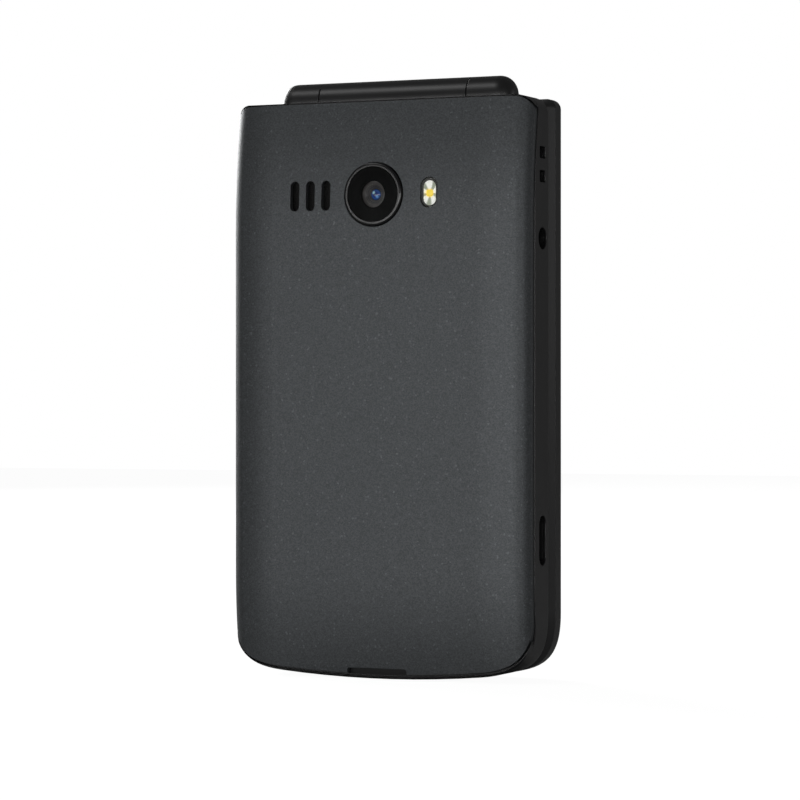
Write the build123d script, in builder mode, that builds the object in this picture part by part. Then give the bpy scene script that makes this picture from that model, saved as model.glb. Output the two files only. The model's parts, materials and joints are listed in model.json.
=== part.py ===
from build123d import *
import os
from math import asin, cos, degrees, hypot, sin, sqrt

# A clamshell phone, closed and upright. X runs across the phone, Y from the back of the
# keypad half towards the face of the lid, Z up the phone to its hinge. The origin is on the
# ground under the middle of the closed phone. Depths are counted from the crown of the back.

# Closed phone
phone_width = 60.0
body_height = 105.7
base_depth = 10.65
lid_gap = 0.30
lid_depth = 7.55

# Outline of both halves
bow_radius = 215.0
corner_width = 10.0
corner_height = 12.0
corner_fullness = 0.72
base_top_corner = 3.2
lid_top_corner = 1.7
smallest_corner_radius = 0.3

# Curved back
side_curve_width = 9.4
side_curve_depth = 4.7
side_edge_radius = 4.0
top_bend_drop = 23.7
top_bend_radius = 131.0
low_bend_start = 19.0
low_bend_radius = 100.0
eased_edge_depth = 3.0
eased_edge_inset = 1.1

# Battery cover and the rim round it
cover_wall = 1.1
cover_side_inset = 0.2
cover_low_inset = 0.9
cover_top_inset = 0.35
cover_edge_depth = 4.1
rim_side_overlap = 0.05
rim_low_inset = 0.5
rim_top_inset = 0.1
rim_slope_low = 4.0
rim_slope_high = 9.5
cover_seat_gap = 0.25
notch_width = 11.9
notch_height = 1.1
notch_radius = 0.5
tab_width = 4.0
tab_thickness = 0.8
tab_root_depth = 1.1
tab_end_depth = 4.3
tab_inset = 4.4
tab_low_height = 30.0
tab_high_drop = 31.7
tab_gap = 0.3

# Walls of the keypad half
rear_floor_depth = 3.4
rear_floor_wall = 1.2
side_wall = 1.5
deep_wall_start = 7.0
hinge_block_length = 4.7
frame_top_drop = 3.7
frame_thickness = 0.65
frame_inset = 0.6
frame_rib_width = 0.85
frame_rib_depth = 9.25
fit_gap = 0.05

# Camera, flash and loudspeaker in the back
camera_drop = 17.4
bezel_radius = 5.8
bezel_rise = 0.5
bezel_edge_radius = 0.45
bezel_hole_gap = 0.12
seat_depth = 1.9
window_radius = 5.0
window_thickness = 0.7
window_recess = 0.06
aperture_radius = 2.5
lens_barrel_radius = 2.42
lens_radius = 1.0
camera_body = 8.5
dish_rim = 0.25
dish_depth = 0.8
lens_rise = 0.35
flash_offset = 11.0
flash_rise = 0.1
flash_width = 3.1
flash_length = 5.3
flash_gap = 0.12
flash_reflector_depth = 1.4
flash_lens_thickness = 0.95
flash_flange = 0.4
flash_rim = 0.5
flash_taper = 25.0
flash_chip = 1.0
speaker_offset = -12.8
slot_width = 1.8
slot_length = 5.5
slot_pitch = 3.16
slot_count = 3
mesh_width = 12.0
mesh_length = 9.0
mesh_thickness = 0.2
speaker_width = 15.0
speaker_length = 11.0
speaker_thickness = 3.2
speaker_corner = 1.0
speaker_surround = 2.0
speaker_groove = 0.4

# Battery and what lies round it
battery_left_room = 7.0
battery_right_room = 11.0
battery_top_room = 37.7
battery_thickness = 4.9
battery_bottom = 12.0
battery_depth = 1.65
battery_gap = 0.25
battery_edge_radius = 0.8
well_wall = 0.8
well_floor = 0.5
contact_width = 12.0
contact_length = 4.0
contact_thickness = 3.6
blade_width = 1.2
blade_pitch = 3.0
blade_length = 2.4
pad_length = 2.6
pad_depth = 0.3

# Main board and the parts on it
board_gap = 0.1
board_thickness = 0.8
board_inset = 2.2
board_top_drop = 6.1
keypad_board_thickness = 0.5
keypad_board_top_drop = 10.7
pillar_gap = 0.2
shield_thickness = 1.9
shield_wall = 0.25
shield_gap = 1.2
card_holder_size = (14.0, 9.4)
card_holder_thickness = 1.4
card_slot_margin = 0.5
card_holder_inset = 6.5
card_holder_gap = 0.2
motor_radius = 4.0
motor_thickness = 2.7
motor_edge = 0.3
motor_place = (-10.0, 6.2)
microphone_size = (3.8, 3.0)
microphone_thickness = 0.7
microphone_place = (3.0, 5.0)
microphone_hole_radius = 0.5
antenna_left = 8.0
antenna_length = 6.6
antenna_height = 6.2
antenna_thickness = 2.4
antenna_groove = 0.5

# Openings in the side
port_depth = 7.9
usb_height = 25.6
usb_width = 8.94
usb_thickness = 3.16
usb_shell = 0.3
usb_length = 6.0
usb_tongue_thickness = 0.7
usb_tongue_width = 6.7
usb_tongue_setback = 0.8
jack_drop = 25.7
jack_bore_radius = 1.8
jack_hole_radius = 2.0
jack_barrel_radius = 2.2
jack_bore_length = 13.0
jack_barrel_length = 3.4
jack_body_width = 5.6
jack_body_thickness = 4.0
jack_end_wall = 1.5
strap_hole_drops = (14.5, 10.2)
strap_hole_width = 2.2
strap_hole_depth = 2.8
strap_hole_corner = 0.4
strap_room = 3.0
port_gap = 0.1
port_room = 0.2

# Screws
screw_radius = 0.8
screw_head_radius = 1.4
screw_head_height = 0.7
screw_length = 5.5
screw_slot_length = 1.8
screw_slot_width = 0.4
screw_slot_depth = 0.35
screw_seat_depth = 3.9
screw_hole_gap = 0.05
boss_radius = 2.0
boss_end_depth = 4.9
low_screw_inset = 7.8
low_screw_height = 5.9
left_screw_inset = 6.3
left_screw_drop = 9.2
right_screw_inset = 7.0
right_screw_drop = 7.4

# Keys
key_travel = 0.2
key_proud = 0.15
key_gap = 0.15
key_flange = 0.4
key_flange_thickness = 0.2
key_flange_gap = 0.05
key_nub_radius = 1.3
key_nub_height = 0.05
key_edge = 0.3
keys_side = 4.4
keys_low = 8.5
keys_top_drop = 12.0
column_rib = 1.3
row_rib = 1.2
digit_corner = 2.0
call_length = 7.4
call_rib = 1.4
side_key_inset = 4.8
side_key_length = 15.0
side_key_rib = 3.6
side_key_lower = 2.7
side_key_corner = 2.4
soft_length = 7.4
ring_low_rib = 3.2
ring_top_rib = 3.8
ring_radius = 12.0
ring_inner_radius = 6.2
ring_relief_width = 1.4
ring_relief_depth = 0.7
ok_gap = 0.55
ok_flange = 0.7
dome_radius = 2.1
dome_height = 0.2
dome_gap = 0.02
dome_sheet_thickness = 0.08
dome_sheet_inset = 3.0
dome_taper = 55.0
rocker_drop = 37.7
rocker_length = 17.0
rocker_width = 2.6
rocker_proud = 0.35
rocker_edge_radius = 0.3
rocker_flange = 0.7
rocker_flange_thickness = 0.5
rocker_play = 0.3
rocker_nub_height = 0.45
rocker_pivot_radius = 0.4
switch_size = 3.0
switch_height = 1.2
switch_spread = 5.5

# Hinge
hinge_radius = 3.65
hinge_axis_rise = 0.6
hinge_axis_depth = 10.8
hinge_left_inset = 6.95
hinge_right_inset = 6.3
left_knuckle_length = 8.55
right_knuckle_length = 8.5
hinge_end_radius = 3.0
hinge_seam_gap = 0.15
hinge_clearance = 0.3
cartridge_radius = 2.5
cartridge_length = 7.0
cartridge_bore_radius = 1.3
cartridge_end_wall = 0.6
cartridge_edge = 0.4
cam_shaft_radius = 1.25
cam_nose_radius = 2.0
cam_nose_length = 4.0
cam_flat = 1.5
bush_radius = 2.4
bush_bore_radius = 1.7
bush_length = 10.0
hinge_flex_radius = 1.4
flex_thickness = 0.15
flex_tail_width = 4.0
flex_tail_drop = 7.2
running_gap = 0.05

# Lid
lid_taper_depth = 3.2
lid_taper_inset = 1.25
lid_part_line = 0.08
lid_front_radius = 2.0
lid_wall = 1.3
lid_inner_floor = 1.8
lid_front_wall = 1.5
lid_pillar_radius = 2.0
inner_window_inset = 4.2
inner_window_top_drop = 9.2
inner_window_thickness = 0.8
inner_window_recess = 0.08
display_side = 4.5
display_top_drop = 17.7
display_thickness = 1.9
display_bottom = 18.0
outer_window_width = 40.0
outer_window_length = 48.0
outer_window_drop = 39.7
outer_window_corner = 7.0
outer_window_thickness = 0.8
outer_window_recess = 0.04
outer_display_width = 31.0
outer_display_length = 35.0
outer_display_thickness = 1.5
earpiece_height = 9.6
earpiece_width = 12.0
earpiece_length = 5.0
earpiece_thickness = 2.2
earpiece_slot_width = 10.0
earpiece_slot_length = 1.6
earpiece_mesh_thickness = 0.3
magnet_size = 5.6
magnet_thickness = 1.5
magnet_place = (11.6, 11.6)
bumper_width = 1.5
bumper_length = 5.0
bumper_thickness = 0.55
bumper_proud = 0.18
bumper_inset = 2.7
bumper_low = 22.0
bumper_drop = 17.7
lid_screw_length = 3.6
lid_boss_length = 0.5
lid_low_screw_inset = 8.5
lid_low_screw_height = 11.0
lid_top_screw_inset = 6.2
lid_top_screw_drop = 13.1

# Places that follow from the sizes above
half_width = phone_width / 2
back_y = -(base_depth + lid_gap + lid_depth) / 2
lid_back = base_depth + lid_gap
lid_front = lid_back + lid_depth
lid_full_width = lid_back + lid_taper_depth
frame_back = base_depth - frame_thickness
crown_half = half_width - side_curve_width
crown_radius = (side_curve_width**2 + side_curve_depth**2 - 2 * side_edge_radius * side_curve_width) / (
    2 * (side_curve_depth - side_edge_radius)
)
well_floor_back = battery_depth + battery_thickness + fit_gap
board_back = well_floor_back + well_floor + board_gap
inside_wall = half_width - side_wall
top_bend_start = body_height - top_bend_drop
hinge_z = body_height + hinge_axis_rise
hinge_left = hinge_left_inset - half_width
hinge_right = half_width - hinge_right_inset
hinge_left_seam = hinge_left + left_knuckle_length
hinge_right_seam = hinge_right - right_knuckle_length
hinge_block_low = body_height - hinge_block_length
frame_top = body_height - frame_top_drop
board_top = body_height - board_top_drop
keypad_board_top = body_height - keypad_board_top_drop
camera_height = body_height - camera_drop
flash_height = camera_height + flash_rise
jack_height = body_height - jack_drop
rocker_height = body_height - rocker_drop
strap_hole_heights = [body_height - drop for drop in strap_hole_drops]
tab_side = half_width - tab_inset
tab_high_height = body_height - tab_high_drop
tab_heights = (tab_low_height, (tab_low_height + tab_high_height) / 2, tab_high_height)
battery_width = phone_width - battery_left_room - battery_right_room
battery_length = body_height - battery_top_room - battery_bottom
battery_offset = (battery_left_room - battery_right_room) / 2
battery_high = battery_bottom + battery_length
screw_places = (
    (low_screw_inset - half_width, low_screw_height),
    (half_width - low_screw_inset, low_screw_height),
    (left_screw_inset - half_width, body_height - left_screw_drop),
    (half_width - right_screw_inset, body_height - right_screw_drop),
)
inner_window_top = body_height - inner_window_top_drop
display_width = 2 * (half_width - display_side)
display_length = body_height - display_top_drop - display_bottom
outer_window_height = body_height - outer_window_drop
bumper_places = [
    (hand * (half_width - bumper_inset), z)
    for hand in (-1, 1)
    for z in (bumper_low, body_height - bumper_drop)
]
lid_screw_places = [
    (hand * (half_width - inset), z)
    for hand in (-1, 1)
    for inset, z in (
        (lid_low_screw_inset, lid_low_screw_height),
        (lid_top_screw_inset, body_height - lid_top_screw_drop),
    )
]
key_flange_front = frame_back - key_flange_gap
key_front = base_depth + key_proud
key_back = key_flange_front - key_flange_thickness
dome_front = key_back - key_nub_height - key_travel - dome_gap
keypad_board_front = dome_front - dome_height - dome_sheet_thickness
keypad_board_back = keypad_board_front - keypad_board_thickness
cover_camera_depth = (camera_height - top_bend_start) ** 2 / (2 * top_bend_radius)

os.makedirs("parts", exist_ok=True)


def finish(piece, name):
    piece.part.label = name
    export_step(piece.part, f"parts/{name}.step")


def at_depth(depth):
    # A plane level with the back, seen from behind. Extruding by a minus goes towards the lid.
    return Plane.XZ.offset(-(back_y + depth))


def across(x):
    # A plane square to X. Its first direction is Y, its second Z.
    return Plane.YZ.offset(x)


def outline(plane, inset=0.0, low_inset=None, top_inset=None, top=body_height, corner=base_top_corner):
    # The phone's outline: a bowed lower edge, full corners, straight sides and a square top
    low = inset if low_inset is None else low_inset
    high = top - (inset if top_inset is None else top_inset)
    side = half_width - inset
    bow_end = half_width - corner_width
    lean = asin(bow_end / (bow_radius - low))
    rise = bow_radius - (bow_radius - low) * cos(lean)
    pull = corner_fullness * (side - bow_end)
    drop = corner_fullness * (corner_height - rise)
    with BuildSketch(plane) as sketch:
        with BuildLine():
            ThreePointArc((-bow_end, rise), (0, low), (bow_end, rise))
            for hand in (-1, 1):
                Bezier(
                    (hand * bow_end, rise),
                    (hand * (bow_end + pull * cos(lean)), rise + pull * sin(lean)),
                    (hand * side, corner_height - drop),
                    (hand * side, corner_height),
                )
                Line((hand * side, corner_height), (hand * side, high))
            Line((-side, high), (side, high))
        make_face()
        fillet(sketch.vertices().group_by(Axis.Y)[-1], max(corner - inset, smallest_corner_radius))
    return sketch.sketch


def back_section(inset=0.0):
    # Cross-section of the keypad half: a flat crown, two arcs to each side, a straight wall
    crown_arc = crown_radius - inset
    edge_arc = side_edge_radius - inset
    crown_y = back_y + crown_radius
    edge_y = back_y + side_curve_depth
    edge_x = half_width - side_edge_radius
    reach = hypot(edge_x - crown_half, edge_y - crown_y)
    meet_x = edge_x + edge_arc * (edge_x - crown_half) / reach
    meet_y = edge_y + edge_arc * (edge_y - crown_y) / reach
    far_y = back_y + base_depth + 2 * inset + side_wall
    with BuildSketch(Plane.XY) as sketch:
        with BuildLine():
            Line((-crown_half, back_y + inset), (crown_half, back_y + inset))
            for hand in (-1, 1):
                RadiusArc(
                    (hand * crown_half, back_y + inset), (hand * meet_x, meet_y), hand * -crown_arc
                )
                RadiusArc(
                    (hand * meet_x, meet_y), (hand * (half_width - inset), edge_y), hand * -edge_arc
                )
                Line((hand * (half_width - inset), edge_y), (hand * (half_width - inset), far_y))
            Line((inset - half_width, far_y), (half_width - inset, far_y))
        make_face()
    return sketch.sketch


def shallow(section, depth):
    # The part of a cross-section that lies behind a depth
    with BuildSketch(Plane.XY) as sketch:
        add(section)
        with Locations((0, back_y)):
            Rectangle(2 * phone_width, 2 * depth, mode=Mode.INTERSECT)
    return sketch.sketch


def ring_section(outer, inner):
    with BuildSketch(Plane.XY) as sketch:
        add(outer)
        add(inner, mode=Mode.SUBTRACT)
    return sketch.sketch


def carried_up(section):
    # Carries a cross-section up the back, which bends forward near both ends
    top_reach = body_height + side_wall - top_bend_start
    top_turn = degrees(asin(top_reach / (top_bend_radius - 2 * base_depth)))
    low_turn = degrees(asin((low_bend_start + side_wall) / (low_bend_radius - 2 * base_depth)))
    top_axis = Axis((0, back_y + top_bend_radius, top_bend_start), (-1, 0, 0))
    low_axis = Axis((0, back_y + low_bend_radius, low_bend_start), (1, 0, 0))
    with BuildPart() as body:
        with BuildSketch(Plane.XY.offset(low_bend_start)):
            add(section)
        extrude(amount=top_bend_start - low_bend_start)
        with BuildSketch(Plane.XY.offset(top_bend_start)):
            add(section)
        revolve(axis=top_axis, revolution_arc=top_turn)
        with BuildSketch(Plane.XY.offset(low_bend_start)):
            add(section)
        revolve(axis=low_axis, revolution_arc=low_turn)
    return body.part


def rod(radius, x_from, x_to):
    # A round bar on the hinge's axis
    with BuildPart() as bar:
        with BuildSketch(across(x_from)):
            with Locations((back_y + hinge_axis_depth, hinge_z)):
                Circle(radius)
        extrude(amount=x_to - x_from)
    return bar.part


def box_between(x_from, x_to, depth_from, depth_to, z_from, z_to):
    with BuildPart() as block:
        with BuildSketch(at_depth(depth_from)):
            with Locations(((x_from + x_to) / 2, (z_from + z_to) / 2)):
                Rectangle(x_to - x_from, z_to - z_from)
        extrude(amount=depth_from - depth_to)
    return block.part


# Rows and columns of the keypad. The four digit rows fill what the other keys leave.
digit_width = (2 * (half_width - keys_side) - 2 * column_rib) / 3
digit_pitch_x = digit_width + column_rib
keys_top = body_height - keys_top_drop
soft_height = keys_top - soft_length / 2
ring_height = keys_top - soft_length - ring_top_rib - ring_radius
call_height = ring_height - ring_radius - ring_low_rib - call_length / 2
digits_top = call_height - call_length / 2 - call_rib
digit_length = (digits_top - keys_low + row_rib) / 4 - row_rib
digit_pitch_z = digit_length + row_rib
digit_bottom = keys_low + digit_length / 2
side_key_inner = ring_radius + side_key_rib
side_key_width = half_width - side_key_inset - side_key_inner
side_key_offset = side_key_inner + side_key_width / 2
side_key_height = ring_height - side_key_lower

# Key places as seen from the keypad, whose left is +X: name, x, z, width, length, corner
digit_rows = (
    ("key_star", "key_0", "key_hash"),
    ("key_7", "key_8", "key_9"),
    ("key_4", "key_5", "key_6"),
    ("key_1", "key_2", "key_3"),
)
key_places = []
for row, names in enumerate(digit_rows):
    for column, name in enumerate(names):
        key_x = (1 - column) * digit_pitch_x
        key_z = digit_bottom + row * digit_pitch_z
        key_places.append((name, key_x, key_z, digit_width, digit_length, digit_corner))
for column, name in enumerate(("key_send", "key_clear", "key_end")):
    key_x = (1 - column) * digit_pitch_x
    key_places.append((name, key_x, call_height, digit_width, call_length, digit_corner))
for hand, soft_name, side_name in (
    (1, "key_soft_left", "key_message"),
    (-1, "key_soft_right", "key_camera"),
):
    key_places.append(
        (soft_name, hand * digit_pitch_x, soft_height, digit_width, soft_length, digit_corner)
    )
    key_places.append(
        (side_name, hand * side_key_offset, side_key_height, side_key_width, side_key_length,
         side_key_corner)
    )
ring_dome_radius = (ring_radius + ring_inner_radius) / 2

# Shapes that several pieces share
outer_back = carried_up(back_section())
seat_wall = cover_wall + cover_seat_gap
seat_depth_limit = cover_edge_depth + cover_seat_gap
cover_shape = carried_up(
    ring_section(shallow(back_section(), cover_edge_depth), back_section(cover_wall))
)
seat_shape = carried_up(shallow(back_section(), seat_depth_limit))
seat_floor_shape = carried_up(back_section(seat_wall))
hollow_shape = carried_up(back_section(seat_wall + rear_floor_wall))
left_knuckle_end = hinge_left_seam - hinge_seam_gap / 2
right_knuckle_end = hinge_right_seam + hinge_seam_gap / 2
left_barrel_end = hinge_left_seam + hinge_seam_gap / 2
right_barrel_end = hinge_right_seam - hinge_seam_gap / 2
recess_radius = hinge_radius + hinge_clearance

# Openings through the +X and -X side walls, with room for the jack's barrel and the rocker
with BuildPart() as side_openings:
    with BuildSketch(across(inside_wall - side_wall)):
        with Locations((back_y + port_depth, jack_height)):
            Circle(jack_hole_radius)
        with Locations((back_y + port_depth, usb_height)):
            SlotOverall(usb_width + port_gap, usb_thickness + port_gap, rotation=90)
        with Locations([(back_y + port_depth, z) for z in strap_hole_heights]):
            RectangleRounded(strap_hole_depth, strap_hole_width, strap_hole_corner)
    extrude(amount=3 * side_wall)
    with BuildSketch(across(-half_width - side_wall)):
        with Locations((back_y + port_depth, rocker_height)):
            SlotOverall(rocker_length + 2 * rocker_play, rocker_width + 2 * rocker_play, rotation=90)
    extrude(amount=3 * side_wall)
    with BuildSketch(across(inside_wall)):
        with Locations((back_y + port_depth, jack_height)):
            Circle(jack_barrel_radius + port_gap)
    extrude(amount=-jack_barrel_length - side_wall)
    with BuildSketch(across(-inside_wall)):
        with Locations((back_y + port_depth, rocker_height)):
            Rectangle(
                rocker_width + 2 * rocker_flange + 2 * port_gap,
                rocker_length + 2 * rocker_flange + 2 * port_gap,
            )
    extrude(amount=side_wall)

# Battery cover: a thin curved shell with slots, two windows, a fingernail notch and side tabs
with BuildPart() as battery_cover:
    add(cover_shape)
    with BuildSketch(at_depth(-eased_edge_depth)):
        add(outline(Plane.XY, cover_side_inset, cover_low_inset, cover_top_inset))
    extrude(amount=-(base_depth + eased_edge_depth), mode=Mode.INTERSECT)
    with BuildSketch(at_depth(tab_root_depth)):
        for hand in (-1, 1):
            with Locations([(hand * (tab_side + tab_thickness / 2), z) for z in tab_heights]):
                Rectangle(tab_thickness, tab_width)
    extrude(amount=tab_root_depth - tab_end_depth)
    with BuildSketch(at_depth(-eased_edge_depth)):
        with Locations((speaker_offset, camera_height)):
            with GridLocations(slot_pitch, 1, slot_count, 1):
                SlotOverall(slot_length, slot_width, rotation=90)
        with Locations((0, camera_height)):
            Circle(bezel_radius + bezel_hole_gap)
        with Locations((flash_offset, flash_height)):
            SlotOverall(flash_length + 2 * flash_gap, flash_width + 2 * flash_gap, rotation=90)
        with Locations((0, cover_low_inset)):
            RectangleRounded(notch_width, 2 * notch_height, notch_radius)
    extrude(amount=-(base_depth + eased_edge_depth), mode=Mode.SUBTRACT)
finish(battery_cover, "battery_cover")

# Room for the cover: its seat, with the rim's inner edge as outline. The rim runs out up the sides.
with BuildPart() as rim_slope:
    with BuildSketch(across(-half_width - side_wall)):
        with BuildLine():
            Polyline(
                (back_y - eased_edge_depth, rim_slope_low),
                (back_y + seat_depth_limit + rim_side_overlap, rim_slope_high),
                (back_y + seat_depth_limit + rim_side_overlap, body_height / 2),
                (back_y - eased_edge_depth, body_height / 2),
                close=True,
            )
        make_face()
    extrude(amount=2 * half_width + 2 * side_wall)
    add(seat_shape, mode=Mode.INTERSECT)
    add(seat_floor_shape, mode=Mode.SUBTRACT)

with BuildPart() as cover_seat:
    add(seat_shape)
    with BuildSketch(at_depth(-eased_edge_depth)):
        add(outline(Plane.XY, -rim_side_overlap, rim_low_inset, rim_top_inset))
    extrude(amount=-(base_depth + eased_edge_depth), mode=Mode.INTERSECT)
    add(seat_floor_shape, mode=Mode.SUBTRACT)
    add(rim_slope.part)

# The hollow of the rear housing, deeper near its front
with BuildPart() as housing_hollow:
    with BuildSketch(at_depth(rear_floor_depth)):
        add(outline(Plane.XY, side_wall, top_inset=0, top=hinge_block_low))
    extrude(amount=rear_floor_depth - base_depth)
    add(hollow_shape, mode=Mode.INTERSECT)
    with BuildSketch(at_depth(deep_wall_start)):
        add(outline(Plane.XY, side_wall, top_inset=0, top=hinge_block_low))
    extrude(amount=deep_wall_start - base_depth)
    with BuildSketch(at_depth(frame_rib_depth)):
        add(outline(Plane.XY, frame_inset - fit_gap, top_inset=0, top=frame_top + fit_gap))
    extrude(amount=frame_rib_depth - base_depth - side_wall)

# Hinge knuckles of the keypad half, rounded at their outer ends
with BuildPart() as knuckles:
    for x_from, x_to in ((hinge_left, left_knuckle_end), (right_knuckle_end, hinge_right)):
        with BuildSketch(across(x_from)):
            with Locations((back_y + hinge_axis_depth, hinge_z)):
                Circle(hinge_radius)
        extrude(amount=x_to - x_from)
    ends = knuckles.edges().filter_by(GeomType.CIRCLE).sort_by(Axis.X)
    fillet([ends[0], ends[-1]], hinge_end_radius)

well_left = battery_offset - battery_width / 2 - battery_gap
well_right = battery_offset + battery_width / 2 + battery_gap
well_low = battery_bottom - battery_gap
well_high = battery_high + battery_gap
contact_low = well_high + fit_gap
contact_high = contact_low + contact_length
well_floor_front = well_floor_back + well_floor
card_holder_place = (
    card_holder_inset + card_holder_size[0] / 2 - half_width,
    contact_high + card_holder_gap + card_holder_size[1] / 2,
)

# Rear housing: the back wall under the cover, the side walls, the battery well and knuckles
with BuildPart() as rear_housing:
    with BuildSketch(at_depth(0)):
        add(outline(Plane.XY, eased_edge_inset))
    with BuildSketch(at_depth(eased_edge_depth)):
        add(outline(Plane.XY))
    loft(ruled=True)
    with BuildSketch(at_depth(eased_edge_depth)):
        add(outline(Plane.XY))
    extrude(amount=eased_edge_depth - base_depth)
    add(outer_back, mode=Mode.INTERSECT)
    add(cover_seat.part, mode=Mode.SUBTRACT)
    add(housing_hollow.part, mode=Mode.SUBTRACT)
    add(rod(recess_radius, left_knuckle_end, right_knuckle_end), mode=Mode.SUBTRACT)
    add(knuckles.part)
    # Battery well
    add(
        box_between(
            well_left - well_wall, well_right + well_wall, rear_floor_depth - fit_gap,
            well_floor_front, well_low - well_wall, well_high + well_wall,
        )
    )
    add(
        box_between(well_left, well_right, 0, well_floor_back, well_low, well_high),
        mode=Mode.SUBTRACT,
    )
    add(
        box_between(
            battery_offset - contact_width / 2 - battery_gap,
            battery_offset + contact_width / 2 + battery_gap,
            rear_floor_depth, well_floor_front, well_high - fit_gap,
            contact_high + battery_gap,
        ),
        mode=Mode.SUBTRACT,
    )
    # Screw bosses, with sunk heads
    with BuildSketch(at_depth(rear_floor_depth - fit_gap)):
        with Locations(screw_places):
            Circle(boss_radius)
    extrude(amount=rear_floor_depth - fit_gap - boss_end_depth)
    with BuildSketch(at_depth(screw_seat_depth)):
        with Locations(screw_places):
            Circle(screw_head_radius + port_gap)
    extrude(amount=screw_seat_depth, mode=Mode.SUBTRACT)
    with BuildSketch(at_depth(screw_seat_depth)):
        with Locations(screw_places):
            Circle(screw_radius + screw_hole_gap)
    extrude(amount=screw_seat_depth - boss_end_depth, mode=Mode.SUBTRACT)
    # Seats and holes for the camera, flash, loudspeaker and card holder
    with BuildSketch(at_depth(seat_depth)):
        with Locations((0, camera_height)):
            Circle(bezel_radius + bezel_hole_gap)
        with Locations((speaker_offset, camera_height)):
            Rectangle(mesh_width + port_gap, mesh_length + port_gap)
    extrude(amount=seat_depth, mode=Mode.SUBTRACT)
    with BuildSketch(at_depth(0)):
        with Locations((0, camera_height)):
            Circle(aperture_radius + port_gap)
        with Locations((speaker_offset, camera_height)):
            Rectangle(mesh_width - side_wall, mesh_length - side_wall)
        with Locations((flash_offset, flash_height)):
            SlotOverall(flash_length + 2 * fit_gap, flash_width + 2 * fit_gap, rotation=90)
        with Locations(card_holder_place):
            Rectangle(card_holder_size[0] - side_wall, card_holder_size[1] - side_wall)
        for hand in (-1, 1):
            with Locations([(hand * (tab_side + tab_thickness / 2), z) for z in tab_heights]):
                Rectangle(tab_thickness + 2 * tab_gap, tab_width + 2 * tab_gap)
    extrude(amount=-tab_end_depth - tab_gap, mode=Mode.SUBTRACT)
    add(side_openings.part, mode=Mode.SUBTRACT)
    # Bores of the knuckles
    add(
        rod(cartridge_radius + fit_gap, right_knuckle_end, right_knuckle_end + cartridge_length
            + 2 * fit_gap),
        mode=Mode.SUBTRACT,
    )
    add(
        rod(bush_radius + fit_gap, left_knuckle_end - bush_length / 2, left_knuckle_end),
        mode=Mode.SUBTRACT,
    )
finish(rear_housing, "rear_housing")

# Camera trim: a ring that stands out of the cover, with a seat for the window
bezel_top = cover_camera_depth - bezel_rise
window_top = bezel_top + window_recess
window_seat = window_top + window_thickness + fit_gap
with BuildPart() as camera_bezel:
    with BuildSketch(at_depth(seat_depth)):
        with Locations((0, camera_height)):
            Circle(bezel_radius)
    extrude(amount=seat_depth - bezel_top)
    fillet(camera_bezel.faces().sort_by(Axis.Y)[0].edges(), bezel_edge_radius)
    with BuildSketch(at_depth(window_seat)):
        with Locations((0, camera_height)):
            Circle(window_radius + fit_gap)
    extrude(amount=window_seat - bezel_top, mode=Mode.SUBTRACT)
    with BuildSketch(at_depth(seat_depth)):
        with Locations((0, camera_height)):
            Circle(aperture_radius)
    extrude(amount=seat_depth, mode=Mode.SUBTRACT)
finish(camera_bezel, "camera_bezel")

with BuildPart() as camera_window:
    with BuildSketch(at_depth(window_top)):
        with Locations((0, camera_height)):
            Circle(window_radius)
    extrude(amount=-window_thickness)
    chamfer(camera_window.faces().sort_by(Axis.Y)[0].edges(), window_recess)
finish(camera_window, "camera_window")

# Camera module: a square body, a round barrel with a dished front, and the lens in it
barrel_top = window_seat + port_gap
with BuildPart() as camera_module:
    with BuildSketch(at_depth(rear_floor_depth + fit_gap)):
        with Locations((0, camera_height)):
            Rectangle(camera_body, camera_body)
    extrude(amount=rear_floor_depth + 2 * fit_gap - board_back)
    with BuildSketch(at_depth(rear_floor_depth + fit_gap)):
        with Locations((0, camera_height)):
            Circle(lens_barrel_radius)
    extrude(amount=rear_floor_depth + fit_gap - barrel_top)
    with BuildSketch(Plane.YZ):
        with BuildLine():
            Polyline(
                (back_y + barrel_top, camera_height),
                (back_y + barrel_top, camera_height + lens_barrel_radius - dish_rim),
                (back_y + barrel_top + dish_depth, camera_height + lens_radius),
                (back_y + barrel_top + dish_depth, camera_height),
                close=True,
            )
        make_face()
    revolve(axis=Axis((0, back_y, camera_height), (0, 1, 0)), mode=Mode.SUBTRACT)
    with BuildSketch(Plane.YZ):
        with BuildLine():
            dome_start = (back_y + barrel_top + dish_depth, camera_height + lens_radius)
            dome_crown = (back_y + barrel_top + dish_depth - lens_rise, camera_height)
            RadiusArc(dome_start, dome_crown, -(lens_radius**2 + lens_rise**2) / (2 * lens_rise))
            Polyline(
                dome_crown, (back_y + rear_floor_depth, camera_height),
                (back_y + rear_floor_depth, camera_height + lens_radius), dome_start,
            )
        make_face()
    revolve(axis=Axis((0, back_y, camera_height), (0, 1, 0)))
finish(camera_module, "camera_module")

# Flash: a clear lens in the cover's hole and a cup with the light behind it
flash_top = cover_camera_depth + fit_gap
flash_cup_top = flash_top + flash_lens_thickness + fit_gap
with BuildPart() as flash_lens:
    with BuildSketch(at_depth(flash_top)):
        with Locations((flash_offset, flash_height)):
            SlotOverall(flash_length, flash_width, rotation=90)
    extrude(amount=-flash_lens_thickness)
finish(flash_lens, "flash_lens")

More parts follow.
